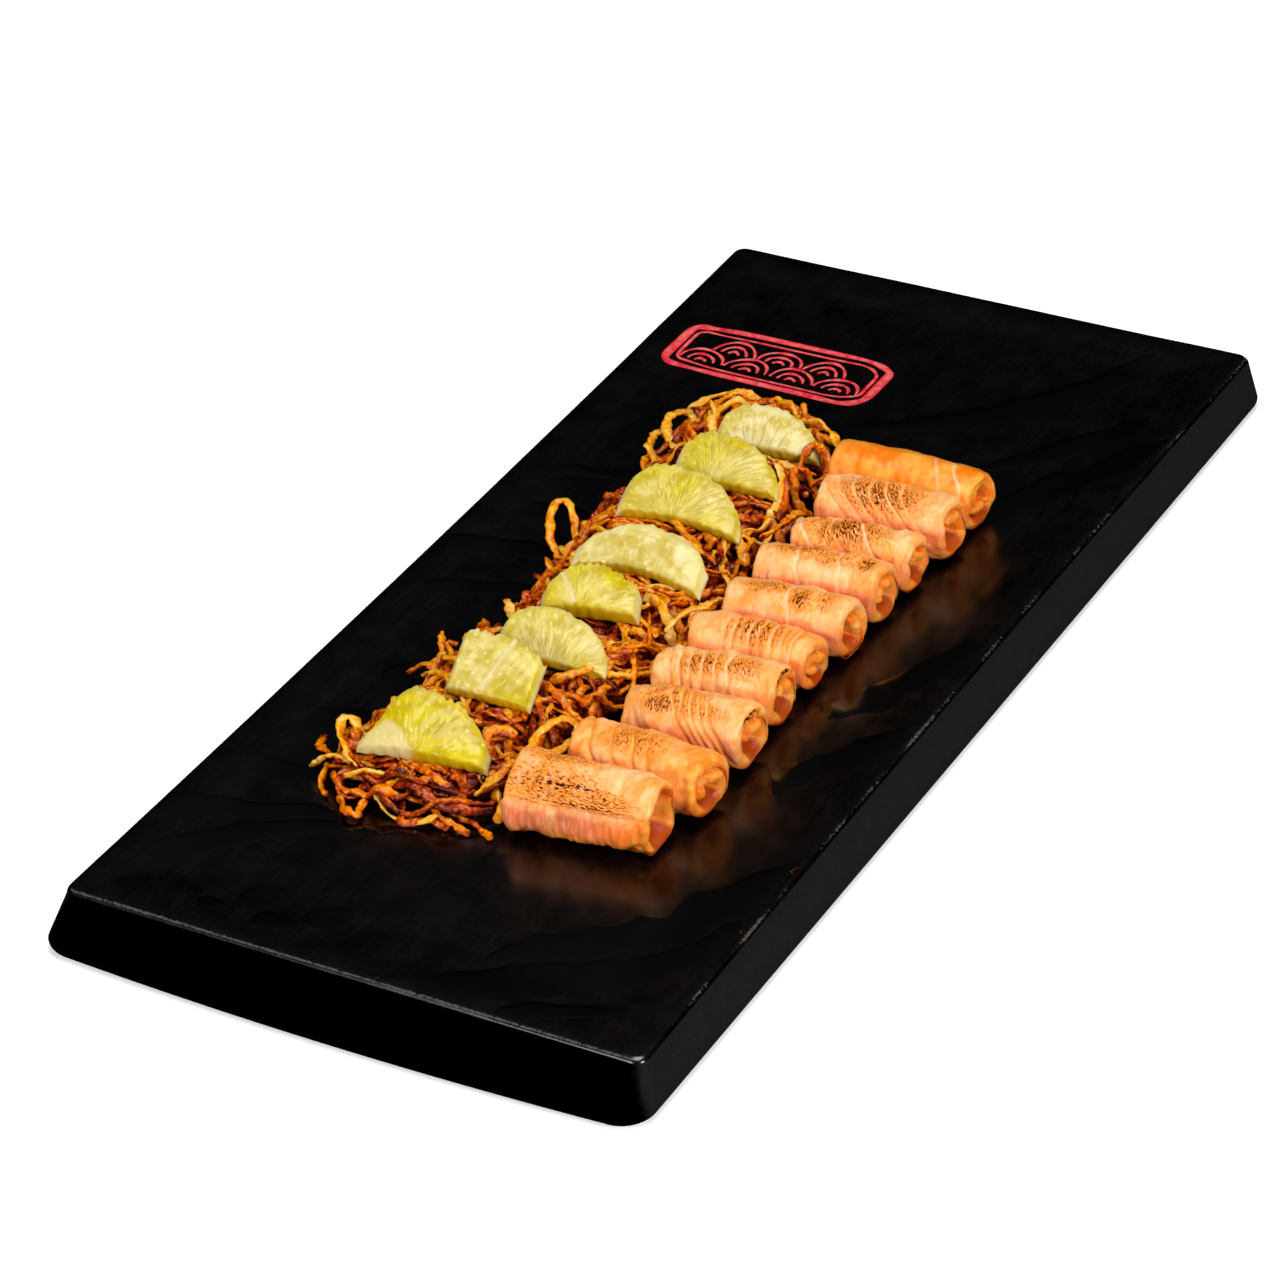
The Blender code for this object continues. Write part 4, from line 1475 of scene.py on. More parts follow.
@dataclass
class LimePiece:
    """One piece of peeled lime: a slice with a cut front edge, leaning back on the onion.

    Its depth at a share of the chord is the moon shape (1 - (2 share^skew - 1)²)^power times the full
    depth."""

    index: int
    x: float
    y: float
    yaw: float
    chord: float
    depth: float
    thick: float
    power: float = 0.5
    skew: float = 0.72
    depths: tuple[float, ...] = ()
    lean: float = 27
    tip: float = 5
    focus: Pair = (0.45, -0.15)
    tone: float = 0.4
    fade: float = 0.0
    skins: tuple[float, ...] = ()
    rind: float = 0.5
    tail: float = 0.07
    hollow: float = 0.0
    frayed: float = 0.3
    clear: float = 7.0
    slant: float = 0.0

    def moon(self, share: Array) -> Array:
        """The outline of a slice: the moon, or a smoothed run of depths.

        Args:
            share: shares of the chord.

        Returns:
            Depth at each, as a share of the full depth.
        """
        if not self.depths:
            return np.clip(1 - (2 * share**self.skew - 1) ** 2, 0, 1) ** self.power
        spots = np.linspace(0, 1, len(self.depths))
        steps = share[..., None] + np.linspace(-0.05, 0.05, 9)
        return np.interp(steps, spots, self.depths).mean(-1)

    def axes(self) -> tuple[Array, Array]:
        """The directions along the front edge and back from it."""
        turn = np.radians(self.yaw)
        return np.array([np.cos(turn), np.sin(turn)]), np.array([-np.sin(turn), np.cos(turn)])

    def rise(self, share: Array, reach: Array) -> Array:
        """How far a place is lifted by the lean, less the tip towards the right end."""
        tilt = np.tan(np.radians(self.tip))
        return reach * np.tan(np.radians(self.lean)) - (share - 0.5) * self.chord * tilt

    def seat(self) -> float:
        """The height that the piece is lifted to, read from the solid's lowest corner.

        Returns:
            Height of the middle of the front edge's underside.
        """
        low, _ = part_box(f"lime_piece_{self.index:02d}")
        share = np.linspace(0.02, 0.98, 25)
        return low.z / MM - self.rise(share, 0 * share).min()

    def underside(self, x: Array, y: Array, margin: float) -> tuple[Array, Array]:
        """How high the onion may lie under and before the piece.

        Args:
            x: places across the slab.
            y: places along the slab.
            margin: how far round the piece counts as under it.

        Returns:
            Height of its underside, and the height below which its cut front stays in sight for a few
            millimetres before it; both are infinity elsewhere.
        """
        along, back = self.axes()
        dx, dy = x - self.x, y - self.y
        share = (dx * along[0] + dy * along[1]) / self.chord + 0.5
        reach = dx * back[0] + dy * back[1]
        slack = margin / self.chord
        deep = self.depth * self.moon(np.clip(share, 0.05, 0.95))
        across = (share > -slack) & (share < 1 + slack)
        under = across & (reach > -margin) & (reach < deep + margin)
        before = across & (reach > -self.clear) & (reach <= -margin)
        lowest = self.seat() + self.rise(share, 0 * reach) - 0.3 * reach * (reach < 0)
        above = self.seat() + self.rise(share, reach)
        return np.where(under, above, np.inf), np.where(before, lowest, np.inf)

    def section(self) -> tuple[Array, Array, Array]:
        """The section's points in order: up the cut front, back over a low dome, round the back and under.

        Returns:
            Each point's share of the depth, its share of the thickness, and 0 on top, 0.5 in front, 1
            below.
        """
        front = np.radians(np.linspace(-90, 90, 11))
        top = np.linspace(0.05, 1, 46)[1:]
        under = np.linspace(1, 0.05, 12)[1:-1]
        dome = np.where(top < 0.9, 1 + 0.14 * np.sin(np.pi * top / 0.9), 1.0)
        fall = np.sqrt(np.clip(1 - np.clip((top - 0.84) / 0.16, 0, 1) ** 2, 0, 1))
        over = dome * (0.3 + 0.7 * fall) * (1 - 0.15 * top)
        heights = np.concatenate([0.5 + 0.5 * np.sin(front), over, 0 * under])
        shares = np.concatenate([0.05 * (1 - np.cos(front)), top, under])
        return shares, heights, np.concatenate([0 * front + 0.5, 0 * top, 0 * under + 1])

    def build(self, finish: Material) -> Object:
        """Lofts the section along the chord, thinner and lower at the tips, with juice sacs raised on top.

        Args:
            finish: the flesh.

        Returns:
            The piece.
        """
        share = 0.5 - 0.5 * np.cos(np.pi * np.linspace(0.004, 0.996, 100))
        shares, heights, part = self.section()
        s, r = np.meshgrid(share, shares, indexing="ij")
        m = np.broadcast_to(self.moon(share)[:, None], s.shape)
        tips = np.clip(np.minimum(share, 1 - share) / 0.06, 0, 1)[:, None] ** 0.5
        thick = self.thick * (0.5 + 0.5 * m) * (0.15 + 0.85 * tips)
        along_chord = np.stack([s * self.chord, 0 * s + self.index], -1)
        edge, coarse = (smooth_noise(along_chord, size, self.index + k) for size, k in ((2.6, 0), (8, 3)))
        fray = 1 + ((0.006 + 0.045 * self.frayed) * edge + 0.02 * coarse) * smoothstep(0.6, 1, r)
        bite = self.hollow * np.sin(np.pi * s) * tips
        jag = 0.16 * smooth_noise(np.stack([s * self.chord, heights * 2 + 0 * s], -1), 3.0, self.index + 4)
        reach = bite + (self.depth * m * fray - bite) * r + jag * (part == 0.5) * tips
        dx = (s - self.focus[0]) * self.chord
        dy = reach - self.focus[1] * self.depth
        angle, radius = np.arctan2(dy, dx), np.hypot(dx, dy)
        sacs = smooth_noise(np.stack([angle * 11, radius / 5], -1), 1.5, self.index + 5)
        height = thick * heights + 0.07 * sacs * (part == 0) * (r < 0.9) * tips
        along, back = self.axes()
        flat = (s - 0.5)[..., None] * self.chord * along + reach[..., None] * back
        flat += np.array([self.x, self.y])
        grid = np.concatenate([flat, (self.seat() + self.rise(s, reach) + height)[..., None]], -1)

        skin = self.rind * smoothstep(0.84, 0.98, r) * (part == 0)
        soft = 0.05 if self.slant else 0.7 * self.tail
        skin = np.maximum(skin, 0.7 * smoothstep(self.tail, self.tail - soft, s + self.slant * r))
        skin = np.maximum(skin, 0.6 * smoothstep(0.04, 0.01, 1 - s))
        for mark in self.skins:
            offset = (angle - np.radians(mark)) * radius / 0.8
            skin = np.maximum(skin, 0.95 * np.exp(-(offset**2)) * (part == 0))
        # Deep marks the cut front and the underside, which take a darker yellow: partly clear flesh and
        # partly painted shade.
        deep = (part == 0.5) * smoothstep(1.0, 0.75, heights) + (part == 1)
        clouds = smooth_noise(np.stack([dx, dy], -1), 16, self.index + 9)
        tone = self.tone + self.fade * (1 - 2 * s) + 0.2 * clouds
        values = {
            "fan": np.stack([angle * 14, radius, 0 * radius + self.index * 30], -1) * MM,
            "look": np.stack([skin, np.clip(tone, 0, 1), np.clip(deep, 0, 1) + 0 * s], -1),
        }
        surface = Surface()
        surface.add_grid(grid * MM, wrap=True, **values)
        for end in (0, -1):
            ring = np.stack([grid[end], np.broadcast_to(grid[end].mean(0), grid[end].shape)]) * MM
            ends = {key: np.stack([value[end]] * 2) for key, value in values.items()}
            surface.add_grid(ring, wrap=True, **ends)
        piece = surface.build(f"lime_slice_{self.index:02d}", [finish])
        place(piece, "lime", f"lime_piece_{self.index:02d}")
        return piece


@dataclass
class LimeRow:
    """The eight lime pieces, from the near end of the bed to the far end."""

    pieces: tuple[LimePiece, ...] = (
        LimePiece(
            1, -24, -108.0, 14, 38, 19, 4.4,
            depths=(0.1, 0.34, 0.84, 1.0, 1.0, 0.97, 0.93, 0.85, 0.68, 0.52, 0.2),
            focus=(0.42, -0.5), tone=0.0, tail=0.46, slant=0.5, rind=0.4, frayed=0.6,
        ),
        LimePiece(
            2, -20, -79.0, 8, 26, 19, 3.4, depths=(0.88, 0.97, 1.0, 1.0, 1.0, 0.98, 0.95, 0.9, 0.82, 0.72),
            focus=(0.2, -1.0), tone=0.5, fade=0.5, skins=(74,), rind=0.3, tail=0.03, frayed=0.5,
        ),
        LimePiece(
            3, -15.5, -52.0, 4, 35, 14.5, 3.2,
            focus=(0.55, -0.5), tone=0.55, hollow=-1.5, rind=0.6, frayed=0.1,
        ),
        LimePiece(
            4, -16, -28.5, 20, 29, 15, 5.0, depths=(0.3, 0.62, 0.82, 0.95, 1.0, 0.98, 0.93, 0.84, 0.7, 0.5),
            focus=(0.4, -0.1), tone=0.2, skins=(118,), rind=0.2, frayed=0.8,
        ),
        LimePiece(
            5, -13.5, -6.5, 6, 41, 17, 3.2, depths=(0.3, 0.62, 0.82, 0.94, 1.0, 1.0, 0.96, 0.88, 0.74, 0.42),
            focus=(0.45, -1.4), tone=0.85, hollow=2.5, rind=0.6, frayed=0.2,
        ),
        LimePiece(
            6, -15.5, 22.5, 8, 39, 18, 3.4,
            focus=(0.45, 0.0), tone=0.3, hollow=1.5, rind=0.4, frayed=0.5,
        ),
        LimePiece(
            7, -13, 47.0, 12, 33, 16.5, 3.4,
            focus=(0.4, -0.1), tone=0.2, tail=0.1, rind=0.3, frayed=0.7,
        ),
        LimePiece(8, -12.5, 72.5, 14, 33, 15, 3.6, focus=(0.42, -0.6), tone=1.0, rind=0.4, frayed=0.4),
    )

    def build(self) -> None:
        """Builds every piece in one shared finish."""
        finish = LimeFlesh().make()
        for piece in self.pieces:
            piece.build(finish)


# ---- onion


class Fry(Enum):
    """How far a strip of onion has been fried: its middle tone, how much strips differ, how many are
    dropped, and how late they tend to fall."""

    DARK = (0.24, 0.06, 270, 0.0)
    RUSSET = (0.34, 0.06, 300, 0.15)
    BROWN = (0.44, 0.07, 300, 0.35)
    GOLDEN = (0.58, 0.08, 300, 0.5)
    PALE = (0.67, 0.07, 50, 0.6)

    def tone(self, rng: np.random.Generator) -> float:
        """Draws the tone of one strip."""
        return np.clip(rng.normal(*self.value[:2]), 0.08, 0.98)


@dataclass(frozen=True)
class Strip:
    """One listed strip of onion: the places it passes, with heights above the slab, and its width and fry."""

    way: tuple[Triple, ...]
    width: float = 2.2
    fry: Fry = Fry.GOLDEN


@dataclass
class OnionHeap:
    """The heap of fried onion: strips and rings dropped one after another on a dark core."""

    slab: Slab
    limes: LimeRow
    salmon: SalmonRow
    seed: int = 7
    left_edge: tuple[Pair, ...] = (
        (-126, -44), (-118, -54), (-96, -54), (-80, -51), (-50, -50), (-28, -47), (0, -48), (24, -50),
        (50, -47), (72, -49), (92, -50), (104, -42),
    )
    right_edge: tuple[Pair, ...] = (
        (-126, -6), (-116, 6), (-104, 3), (-72, 4), (-60, 11), (-46, 13), (-20, 11), (0, 12), (20, 11),
        (44, 12), (62, 11), (84, 4), (104, -4),
    )
    near_end: float = -122.0
    far_end: float = 103.0
    ridge: float = 12.5
    stations: int = 44
    around: int = 8
    cell: float = 1.0
    map_corner: Pair = (-75.0, -140.0)
    map_size: Pair = (110.0, 265.0)
    spare: float = 2.0
    tries: int = 30
    ring_share: float = 0.1
    ring_radius: Pair = (3.0, 5.5)
    strip_length: Pair = (20, 58)
    bend_radius: Pair = (9, 45)
    strip_width: Pair = (1.5, 3.3)
    pale_wider: float = 1.3
    strips: tuple[Strip, ...] = (
        Strip(((-39, 79, 7), (-46, 86, 9), (-50, 82, 11), (-48, 74, 10), (-42, 69, 8), (-37, 72, 7)), 3.0),
        Strip(((-42, 72, 6), (-50, 75, 8), (-50, 67, 9), (-44, 61, 7), (-38, 60, 6)), 2.8),
        Strip(((-41, 61, 4), (-48, 64, 6), (-47, 57, 7), (-40, 53, 5), (-34, 55, 4)), 2.6),
        Strip(((-50, 90, 6), (-46, 96, 10), (-41, 100, 10), (-34, 101, 7)), 3.6, Fry.PALE),
        Strip(((-44, 94, 8), (-36, 99, 12), (-28, 99, 10)), 3.2),
        Strip(((-14, 89, 12), (-4, 88, 16), (5, 83, 16), (11, 77, 13), (14, 69, 8), (14, 61, 3)), 3.0),
        Strip(((4, 66, 8), (0, 72, 11), (1, 78, 14), (6, 76, 13), (9, 69, 10), (5, 65, 8)), 2.6, Fry.BROWN),
        Strip(((-39, -10, 2), (-46, 4, 6), (-51, 9, 10), (-55, 19, 13), (-52, 22, 12), (-46, 15, 7),
               (-41, 8, 3)), 2.8),
        Strip(((-38, -74, 3), (-45, -63, 9), (-51, -52, 13)), 2.4),
        Strip(((-38, -70, 5), (-42, -62, 9), (-48, -55, 11), (-46, -52, 10)), 2.2, Fry.BROWN),
        Strip(((-58, -62, 3), (-51, -60, 5), (-43, -68, 4), (-38, -74, 3)), 2.4, Fry.BROWN),
        Strip(((-58, -113, 3), (-51, -113, 8), (-44, -112, 8), (-36, -110, 6)), 2.8, Fry.PALE),
        Strip(((-38, -116, 5), (-46, -112, 10), (-53, -104, 13), (-50, -102, 13), (-42, -108, 9)), 3.2),
        Strip(((-62, -99, 3), (-59, -107, 6), (-52, -111, 6), (-44, -109, 5)), 2.6, Fry.BROWN),
        Strip(((-53, -112, 4), (-52, -118, 2), (-48, -122, 1)), 2.2, Fry.BROWN),
        Strip(((-48, -117, 3), (-38, -115, 6), (-28, -117, 5), (-15, -115, 3), (-4, -117, 2)), 2.4),
        Strip(((-26, -117, 2), (-21, -124, 1), (-15, -121, 2), (-8, -121, 1)), 2.4, Fry.BROWN),
        Strip(((-24, -112, 5), (-15, -118, 4), (-7, -121, 2), (-1, -120, 1)), 2.2, Fry.BROWN),
        Strip(((-8, -117, 2), (0, -117, 1), (5, -121, 1)), 2.2),
        Strip(((-44, -122, 2), (-38, -127, 3), (-34, -127, 2), (-35, -121, 3)), 2.4),
        Strip(((8, -108, 8), (3, -96, 12), (2, -85, 14), (5, -79, 15), (10, -79, 13), (9, -86, 11),
               (5, -94, 9)), 3.2),
        Strip(((5, -117, 4), (6, -111, 9), (4, -103, 12), (1, -95, 11)), 3.4),
        Strip(((-46, 20, 7), (-38, 26, 12), (-31, 30, 14), (-22, 27, 14), (-12, 21, 13), (2, 15, 9)), 2.8),
        Strip(((-12, -58, 10), (-4, -52, 12), (0, -42, 12), (2, -33, 11)), 2.8),
        Strip(((6, -24, 11), (10, -17, 14), (13, -10, 13), (12, 0, 9)), 2.8),
        Strip(((8, 30, 11), (12, 36, 13), (12, 44, 12), (11, 52, 8)), 2.8),
        Strip(((-44, -119, 7), (-37, -117, 9), (-30, -114, 9), (-27, -110, 8)), 2.4),
        Strip(((-31, -118, 7), (-23, -114, 8), (-17, -109, 8)), 2.6, Fry.PALE),
        Strip(((-4, -113, 8), (0, -106, 11), (1, -99, 12)), 2.6, Fry.PALE),
    )

    def __post_init__(self) -> None:
        """Sets up the height map of the growing pile, the limes over it and the rolls beside it."""
        self.rng = np.random.default_rng(self.seed)
        self.shape = tuple(int(side / self.cell) for side in self.map_size)
        gx, gy = (low + (np.arange(n) + 0.5) * self.cell for low, n in zip(self.map_corner, self.shape))
        self.map_x, self.map_y = np.meshgrid(gx, gy, indexing="ij")
        self.roof = np.full(self.shape, np.inf)
        self.sight = np.full(self.shape, np.inf)
        for piece in self.limes.pieces:
            under, before = piece.underside(self.map_x, self.map_y, 1.2)
            self.roof = np.minimum(self.roof, under - self.slab.floor)
            self.sight = np.minimum(self.sight, before - self.slab.floor)
        self.block = np.zeros(self.shape, bool)
        for roll in self.salmon.rolls:
            low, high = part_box(f"salmon_roll_{roll.index:02d}")
            beside = (self.map_y > low.y / MM) & (self.map_y < high.y / MM)
            self.block |= (self.map_x > low.x / MM - 0.5) & beside
        self.pile = self.profile(self.map_x, self.map_y) * 0.4

    def sides(self, y: Array) -> tuple[Array, Array]:
        """The heap's left and right edges at places along the slab."""
        return np.interp(y, *np.array(self.left_edge).T), np.interp(y, *np.array(self.right_edge).T)

    def profile(self, x: Array, y: Array) -> Array:
        """Height of the heap: the ridge height times a steep arch across and a rounded fall at each end,
        with low swells along it.

        Args:
            x: places across the slab.
            y: places along the slab.

        Returns:
            Height above the slab's floor.
        """
        left, right = self.sides(y)
        across = np.clip(np.abs((2 * x - left - right) / (right - left)), 0, 1)
        end = np.clip(np.minimum(y - self.near_end, self.far_end - y) / 16, 0, 1)
        swell = 1 + 0.1 * np.sin(y / 9) + 0.06 * np.sin(x / 5 + y / 6)
        return self.ridge * swell * (1 - across**3.2) ** 0.7 * np.sqrt(end * (2 - end))

    def inside(self, x: Array, y: Array, overhang: float) -> Array:
        """Whether places lie in the heap's outline.

        Args:
            x: places across the slab.
            y: places along the slab.
            overhang: how far the outline is widened.

        Returns:
            True for each place that does.
        """
        left, right = self.sides(y)
        across = (x > left - overhang) & (x < right + min(overhang, 1.0))
        return across & (y > self.near_end - overhang) & (y < self.far_end + overhang)

    def cells(self, x: Array, y: Array) -> tuple[Array, Array]:
        """Cells of the height map that places fall in.

        Args:
            x: places across the slab.
            y: places along the slab.

        Returns:
            Each cell's two indices.
        """
        i, j = (
            np.clip(((place - low) / self.cell).astype(int), 0, n - 1)
            for place, low, n in zip((x, y), self.map_corner, self.shape)
        )
        return i, j

    def wander(self, ring: bool) -> tuple[Array, Array] | None:
        """A path in plan that stays in the outline: its heading is the running sum of a curvature, the arc
        of the onion ring that it was cut from, with crinkles.

        Args:
            ring: makes a whole small ring in place of a long strip.

        Returns:
            x and y of the path, or None when no try fitted.
        """
        rng = self.rng
        steps = np.arange(self.stations) / (self.stations - 1)
        for _ in range(self.tries):
            y0 = rng.uniform(self.near_end, self.far_end)
            left, right = self.sides(y0)
            x0 = rng.uniform(left, right)
            if ring:
                radius = rng.uniform(*self.ring_radius)
                length = 2 * np.pi * radius * rng.uniform(0.75, 1.1)
                bend = np.full(self.stations, 1 / radius)
            else:
                length = rng.uniform(*self.strip_length)
                bend = rng.choice([-1, 1]) / rng.uniform(*self.bend_radius) + rng.uniform(0.0, 0.08) * np.sin(
                    2 * np.pi * steps * rng.uniform(0.6, 1.6) + rng.uniform(0, 6)
                )
            crinkle = rng.uniform(0.03, 0.11) * np.sin(
                2 * np.pi * steps * length / rng.uniform(5, 9) + rng.uniform(0, 6)
            )
            start = rng.uniform(0, 2 * np.pi)
            if y0 < self.near_end + 22:
                start = rng.normal(0, 0.5) + np.pi * rng.integers(2) - bend.mean() * length / 2
            heading = start + np.cumsum(bend + crinkle) * length / self.stations
            x = x0 + np.cumsum(np.cos(heading)) * length / self.stations
            y = y0 + np.cumsum(np.sin(heading)) * length / self.stations
            x, y = x - (x.mean() - x0) * 0.8, y - (y.mean() - y0) * 0.8
            overhang = rng.choice([0.0, 1.5, 4.0], p=[0.45, 0.4, 0.15])
            if self.inside(x, y, overhang).all() and not self.block[self.cells(x, y)].any():
                return x, y
        return None

    def drop(
        self, x: Array, y: Array, half: float, stiff: float, lift: Array
    ) -> Array | None:
        """Lets a path fall on the pile, where it rests on high places and bridges gaps.

        Args:
            x: path across the slab.
            y: path along the slab.
            half: half the strip's thickness.
            stiff: 0 to follow the pile, 1 to bridge it.
            lift: how far each place is raised.

        Returns:
            Heights above the slab's floor, or None where the heap is full.
        """
        cells = self.cells(x, y)
        ground = self.pile[cells]
        padded = np.pad(ground, 3, mode="edge")
        highest = np.max([padded[k : k + len(ground)] for k in range(7)], axis=0)
        bridge = np.convolve(np.pad(highest, 3, mode="edge"), np.ones(7) / 7, mode="valid")
        z = ground * (1 - stiff) + bridge * stiff + half
        z = np.convolve(np.pad(z, 2, mode="edge"), np.ones(5) / 5, mode="valid") + lift
        if np.mean(z - self.profile(x, y)) > self.spare or (z + half > self.sight[cells]).any():
            return None
        return np.maximum(np.minimum(z, self.roof[cells] - half - 0.4), half + 0.1)

    def raise_pile(self, x: Array, y: Array, top: Array) -> None:
        """Raises the height map where a strip now lies.

        Args:
            x: its path across the slab.
            y: its path along the slab.
            top: height of its upper face.
        """
        for dx in (-0.8, 0.0, 0.8):
            for dy in (-0.8, 0.0, 0.8):
                np.maximum.at(self.pile, self.cells(x + dx, y + dy), top)

    def ribbon(
        self, surface: Surface, way: Array, width: float, thick: float, twist: float, tone: float
    ) -> None:
        """Adds a strip: a flat oval section, cupped like the onion layer it was, carried along a path and
        turned about it, with blisters that swell it and ends that taper.

        Args:
            surface: takes the strip's grid.
            way: its path, in millimetres.
            width: its full width.
            thick: its full thickness.
            twist: the section's turn from end to end, in radians.
            tone: its middle tone.
        """
        rng = self.rng
        tangent = np.gradient(way, axis=0)
        tangent /= np.linalg.norm(tangent, axis=1)[:, None] + 1e-9
        side = np.cross(tangent, [0, 0, 1.0])
        side /= np.linalg.norm(side, axis=1)[:, None] + 1e-6
        up = np.cross(side, tangent)
        share = np.linspace(0, 1, len(way))
        ends = np.clip(np.minimum(share, 1 - share) / 0.05, 0, 1) ** 0.5
        swell = (1 + 0.2 * smooth_noise(way / 2.2, 1.6, int(rng.integers(1 << 30)), 6)) * (0.25 + 0.75 * ends)
        swell[[0, -1]] = 0.0
        angle = 2 * np.pi * np.arange(self.around) / self.around
        roll = 0.35 * smooth_noise(way / 9, 1.6, int(rng.integers(1 << 30)), 4)
        turn = (rng.uniform(-0.7, 0.7) + twist * (share - 0.5) + roll)[:, None]
        cup = rng.uniform(0.0, 0.16)
        a = np.cos(angle) * width / 2
        b = np.sin(angle) * thick / 2 + cup * width * (np.cos(angle) ** 2 - 0.5)
        flat = (a * np.cos(turn) - b * np.sin(turn)) * swell[:, None]
        high = (a * np.sin(turn) + b * np.cos(turn)) * swell[:, None]
        grid = way[:, None] + flat[..., None] * side[:, None] + high[..., None] * up[:, None]
        bumps = smooth_noise(grid, 2.0, int(rng.integers(1 << 30)), 8) * swell[:, None]
        out = np.cos(angle)[:, None] * side[:, None] + np.sin(angle)[:, None] * up[:, None]
        grid += 0.22 * bumps[..., None] * out
        grid[..., 2] = np.maximum(grid[..., 2], 0.05) + self.slab.floor
        burnt = 1 - np.clip(np.minimum(share, 1 - share) / 0.12, 0, 1)
        # Painted shade: strips lying deeper in the heap are darker.
        painted_pile_shade = np.clip(self.profile(way[:, 0], way[:, 1]) - way[:, 2] - 1.0, 0, 6)
        lift = 0.07 * smoothstep(self.near_end + 22, self.near_end + 55, way[:, 1]) - 0.02
        shade = tone + lift - 0.26 * burnt * rng.uniform(0, 1) - 0.04 * painted_pile_shade
        # Painted light: each strip is lighter on its upper side and darker below.
        painted_top_light = np.sin(angle) * np.cos(turn) + np.cos(angle) * np.sin(turn)
        surface.add_grid(grid * MM, wrap=True, tone=shade[:, None] + 0.1 * painted_top_light)

    def core(self, finish: Material) -> None:
        """Builds the dark bumpy core that closes the view through the heap, its dark tone painted shade for
        the heap's inside.

        Args:
            finish: the fried onion.
        """
        share = np.linspace(-1, 1, 60)
        y = np.linspace(self.near_end + 9, self.far_end - 9, 200)
        left, right = self.sides(y)
        half = (right - left - 16) / 2 * np.clip((np.minimum(y - y[0], y[-1] - y) + 3) / 18, 0, 1) ** 0.5
        x = ((left + right) / 2)[:, None] + half[:, None] * share
        yy = np.broadcast_to(y[:, None], x.shape)
        spots = np.stack([x, yy], -1)
        height = self.profile(x, yy) * 0.5 * (1 + 0.3 * smooth_noise(spots, 5, 3)) * (1 - share**8)
        height = np.minimum(np.clip(height, 0.05, None), self.roof[self.cells(x, yy)] - 1)
        top = np.stack([x, yy, height + self.slab.floor], -1)
        under = top * [1, 1, 0] + [0, 0, self.slab.floor + 0.02]
        surface = Surface()
        # Painted shade: the core takes a dark tone, as the shaded inside of the heap.
        tone = np.broadcast_to(0.26 + 0.07 * smooth_noise(spots, 4, 8), height.shape)
        surface.add_grid(top * MM, tone=tone)
        surface.add_grid(under * MM, flip=True, tone=tone)
        for edge in (np.s_[0, :], np.s_[-1, :], np.s_[:, 0], np.s_[:, -1]):
            surface.add_grid(np.stack([top[edge], under[edge]]) * MM, tone=np.stack([tone[edge]] * 2))
        place(surface.build("onion_core", [finish]), "fried_onion")

    def scatter(self, surfaces: dict[Fry, Surface]) -> None:
        """Drops strips and rings of every fry: the darkest come first on the whole, so the golden ones lie
        on top.

        Args:
            surfaces: take the strips, by fry.
        """
        rng = self.rng
        kinds = [fry for fry in Fry for _ in range(fry.value[2])]
        order = np.argsort([fry.value[3] + rng.random() for fry in kinds])
        share = np.linspace(0, 1, self.stations)
        for fry in (kinds[k] for k in order):
            ring = rng.random() < self.ring_share
            path = self.wander(ring)
            if path is None:
                continue
            x, y = path
            width = rng.uniform(*self.strip_width) * (self.pale_wider if fry is Fry.PALE else 1)
            thick = 0.3 + width * rng.uniform(0.25, 0.6)
            lift = np.zeros(self.stations)
            if ring:
                lift = rng.uniform(1.0, 3.0) * (1 + np.sin(2 * np.pi * share + rng.uniform(0, 6)))
            elif rng.random() < 0.35:
                lift = rng.uniform(0.5, 3.5) * share**3
            z = self.drop(x, y, thick / 2, rng.uniform(0.3, 0.9), lift)
            if z is None:
                continue
            self.raise_pile(x, y, z - lift + thick / 2)
            tone = fry.tone(rng)
            self.ribbon(surfaces[fry], np.stack([x, y, z], -1), width, thick, rng.normal(0, 1.2), tone)

    def build(self) -> None:
        """Builds the core, the dropped strips and then the listed ones."""
        finish = FriedOnion().make()
        self.core(finish)
        surfaces = {fry: Surface() for fry in Fry}
        self.scatter(surfaces)
        for strip in self.strips:
            way = through(list(strip.way), self.stations + 10)
            way += 0.35 * np.stack([smooth_noise(way, 9, 60 + k) for k in range(3)], -1)
            tone = strip.fry.tone(self.rng)
            self.ribbon(surfaces[strip.fry], way, strip.width * 0.92, 1.3, self.rng.normal(0, 0.8), tone)
        for index, (fry, surface) in enumerate(surfaces.items()):
            piece = surface.build(f"onion_strips_{fry.name.lower()}", [finish])
            place(piece, "fried_onion", *(["fried_onion_bed"] if index == 0 else []))


# ---- studio


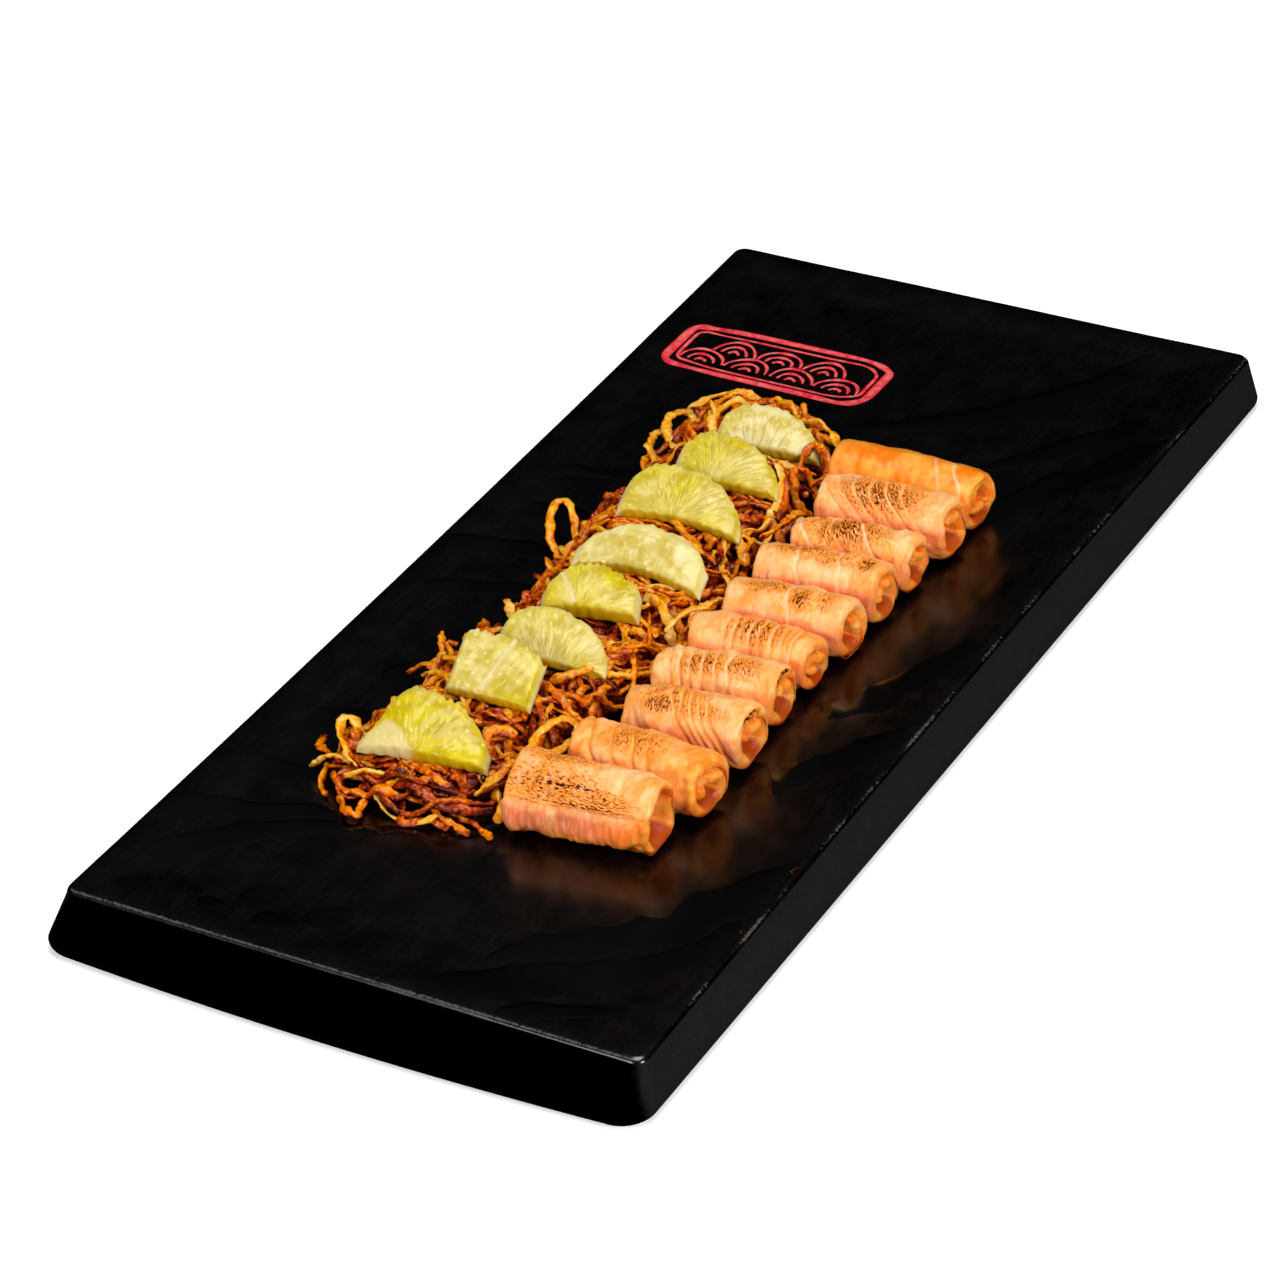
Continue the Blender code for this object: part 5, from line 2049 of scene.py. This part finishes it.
@dataclass
class Studio:
    """A pale floor, soft boxes and the camera, in metres and degrees."""

    camera_at: Triple = (0.6290, -1.03337, 0.80967)
    camera_turn: Triple = (56.37736, 3.83980, 29.46820)
    lens: float = 139.63
    floor_size: float = 12.0
    boxes: tuple[tuple[str, Triple, float, float], ...] = (
        ("overhead box", (0.1, 0.0, 1.5), 0.7, 15.5),
        ("front box", (-0.3, -1.3, 0.7), 0.45, 9),
        ("right box", (1.2, -0.5, 0.7), 0.4, 13),
    )

    def soft_box(self, name: str, at: Triple, size: float, watts: float) -> None:
        """Adds a square soft box that faces the platter.

        Args:
            name: the light's name.
            at: where it hangs.
            size: its side.
            watts: its power.
        """
        light = bpy.data.lights.new(name, "AREA")
        light.size = size
        light.energy = watts
        box = bpy.data.objects.new(name, light)
        box.location = at
        box.rotation_euler = (-Vector(at)).to_track_quat("-Z", "Y").to_euler()
        bpy.context.scene.collection.objects.link(box)

    def paper_floor(self) -> None:
        """Lays a sheet of white paper just under the slab, bright enough to stay white, and out of the
        glaze's reflections."""
        half, drop = self.floor_size / 2, -0.3 * MM
        mesh = bpy.data.meshes.new("floor")
        corners = [(-half, -half, drop), (half, -half, drop), (half, half, drop), (-half, half, drop)]
        mesh.from_pydata(corners, [], [(0, 1, 2, 3)])
        paper = bpy.data.materials.new("white paper sweep")
        paper.use_nodes = True
        looks = {
            "Base Color": (0.92, 0.92, 0.92, 1),
            "Emission Color": (1, 1, 1, 1),
            "Emission Strength": 0.4,
            "Roughness": 0.9,
            "Specular IOR Level": 0.0,
        }
        fill(paper.node_tree.nodes["Principled BSDF"], looks)
        mesh.materials.append(paper)
        floor = bpy.data.objects.new("floor", mesh)
        floor.visible_glossy = False
        bpy.context.scene.collection.objects.link(floor)

    def surroundings(self) -> None:
        """Sets the world: white to the camera, and to all else dark, with a soft glow from a height of half
        the sky up."""
        world = bpy.data.worlds.new("studio")
        bpy.context.scene.world = world
        world.use_nodes = True
        add = partial(add_node, world.node_tree)
        rise = add("SeparateXYZ", {0: add("TexCoord", output="Generated")}, "Z")
        span = {"Value": rise, "From Min": 0.5, "From Max": 0.64, "To Min": 0.002, "To Max": 0.055}
        seen = add("LightPath", output="Is Camera Ray")
        colour = add("Mix", {0: seen, 6: add("MapRange", span), 7: "#FFFFFF"}, 2, data_type="RGBA")
        fill(world.node_tree.nodes["Background"], {"Color": colour, "Strength": 1.0})

    def aim(self) -> None:
        """Places the camera."""
        camera = bpy.data.cameras.new("camera")
        camera.lens = self.lens
        camera.sensor_width = 36
        camera.clip_start = 0.01
        eye = bpy.data.objects.new("camera", camera)
        eye.location = self.camera_at
        eye.rotation_euler = tuple(math.radians(v) for v in self.camera_turn)
        bpy.context.scene.collection.objects.link(eye)
        bpy.context.scene.camera = eye

    def build(self) -> None:
        """Builds the floor, the surroundings, the lights and the camera."""
        self.paper_floor()
        self.surroundings()
        for box in self.boxes:
            self.soft_box(*box)
        self.aim()
        bpy.context.scene.view_settings.view_transform = "Standard"


def main() -> None:
    """Builds the platter piece by piece, then the studio."""
    logging.basicConfig(level=logging.INFO, format="%(name)s: %(message)s")
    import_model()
    slab = Slab()
    slab.build()
    BrushWork(slab).build()
    PaintedWaves(slab).build()
    salmon = SalmonRow()
    salmon.build()
    limes = LimeRow()
    limes.build()
    OnionHeap(slab, limes, salmon).build()
    Studio().build()


if __name__ == "__main__":
    main()
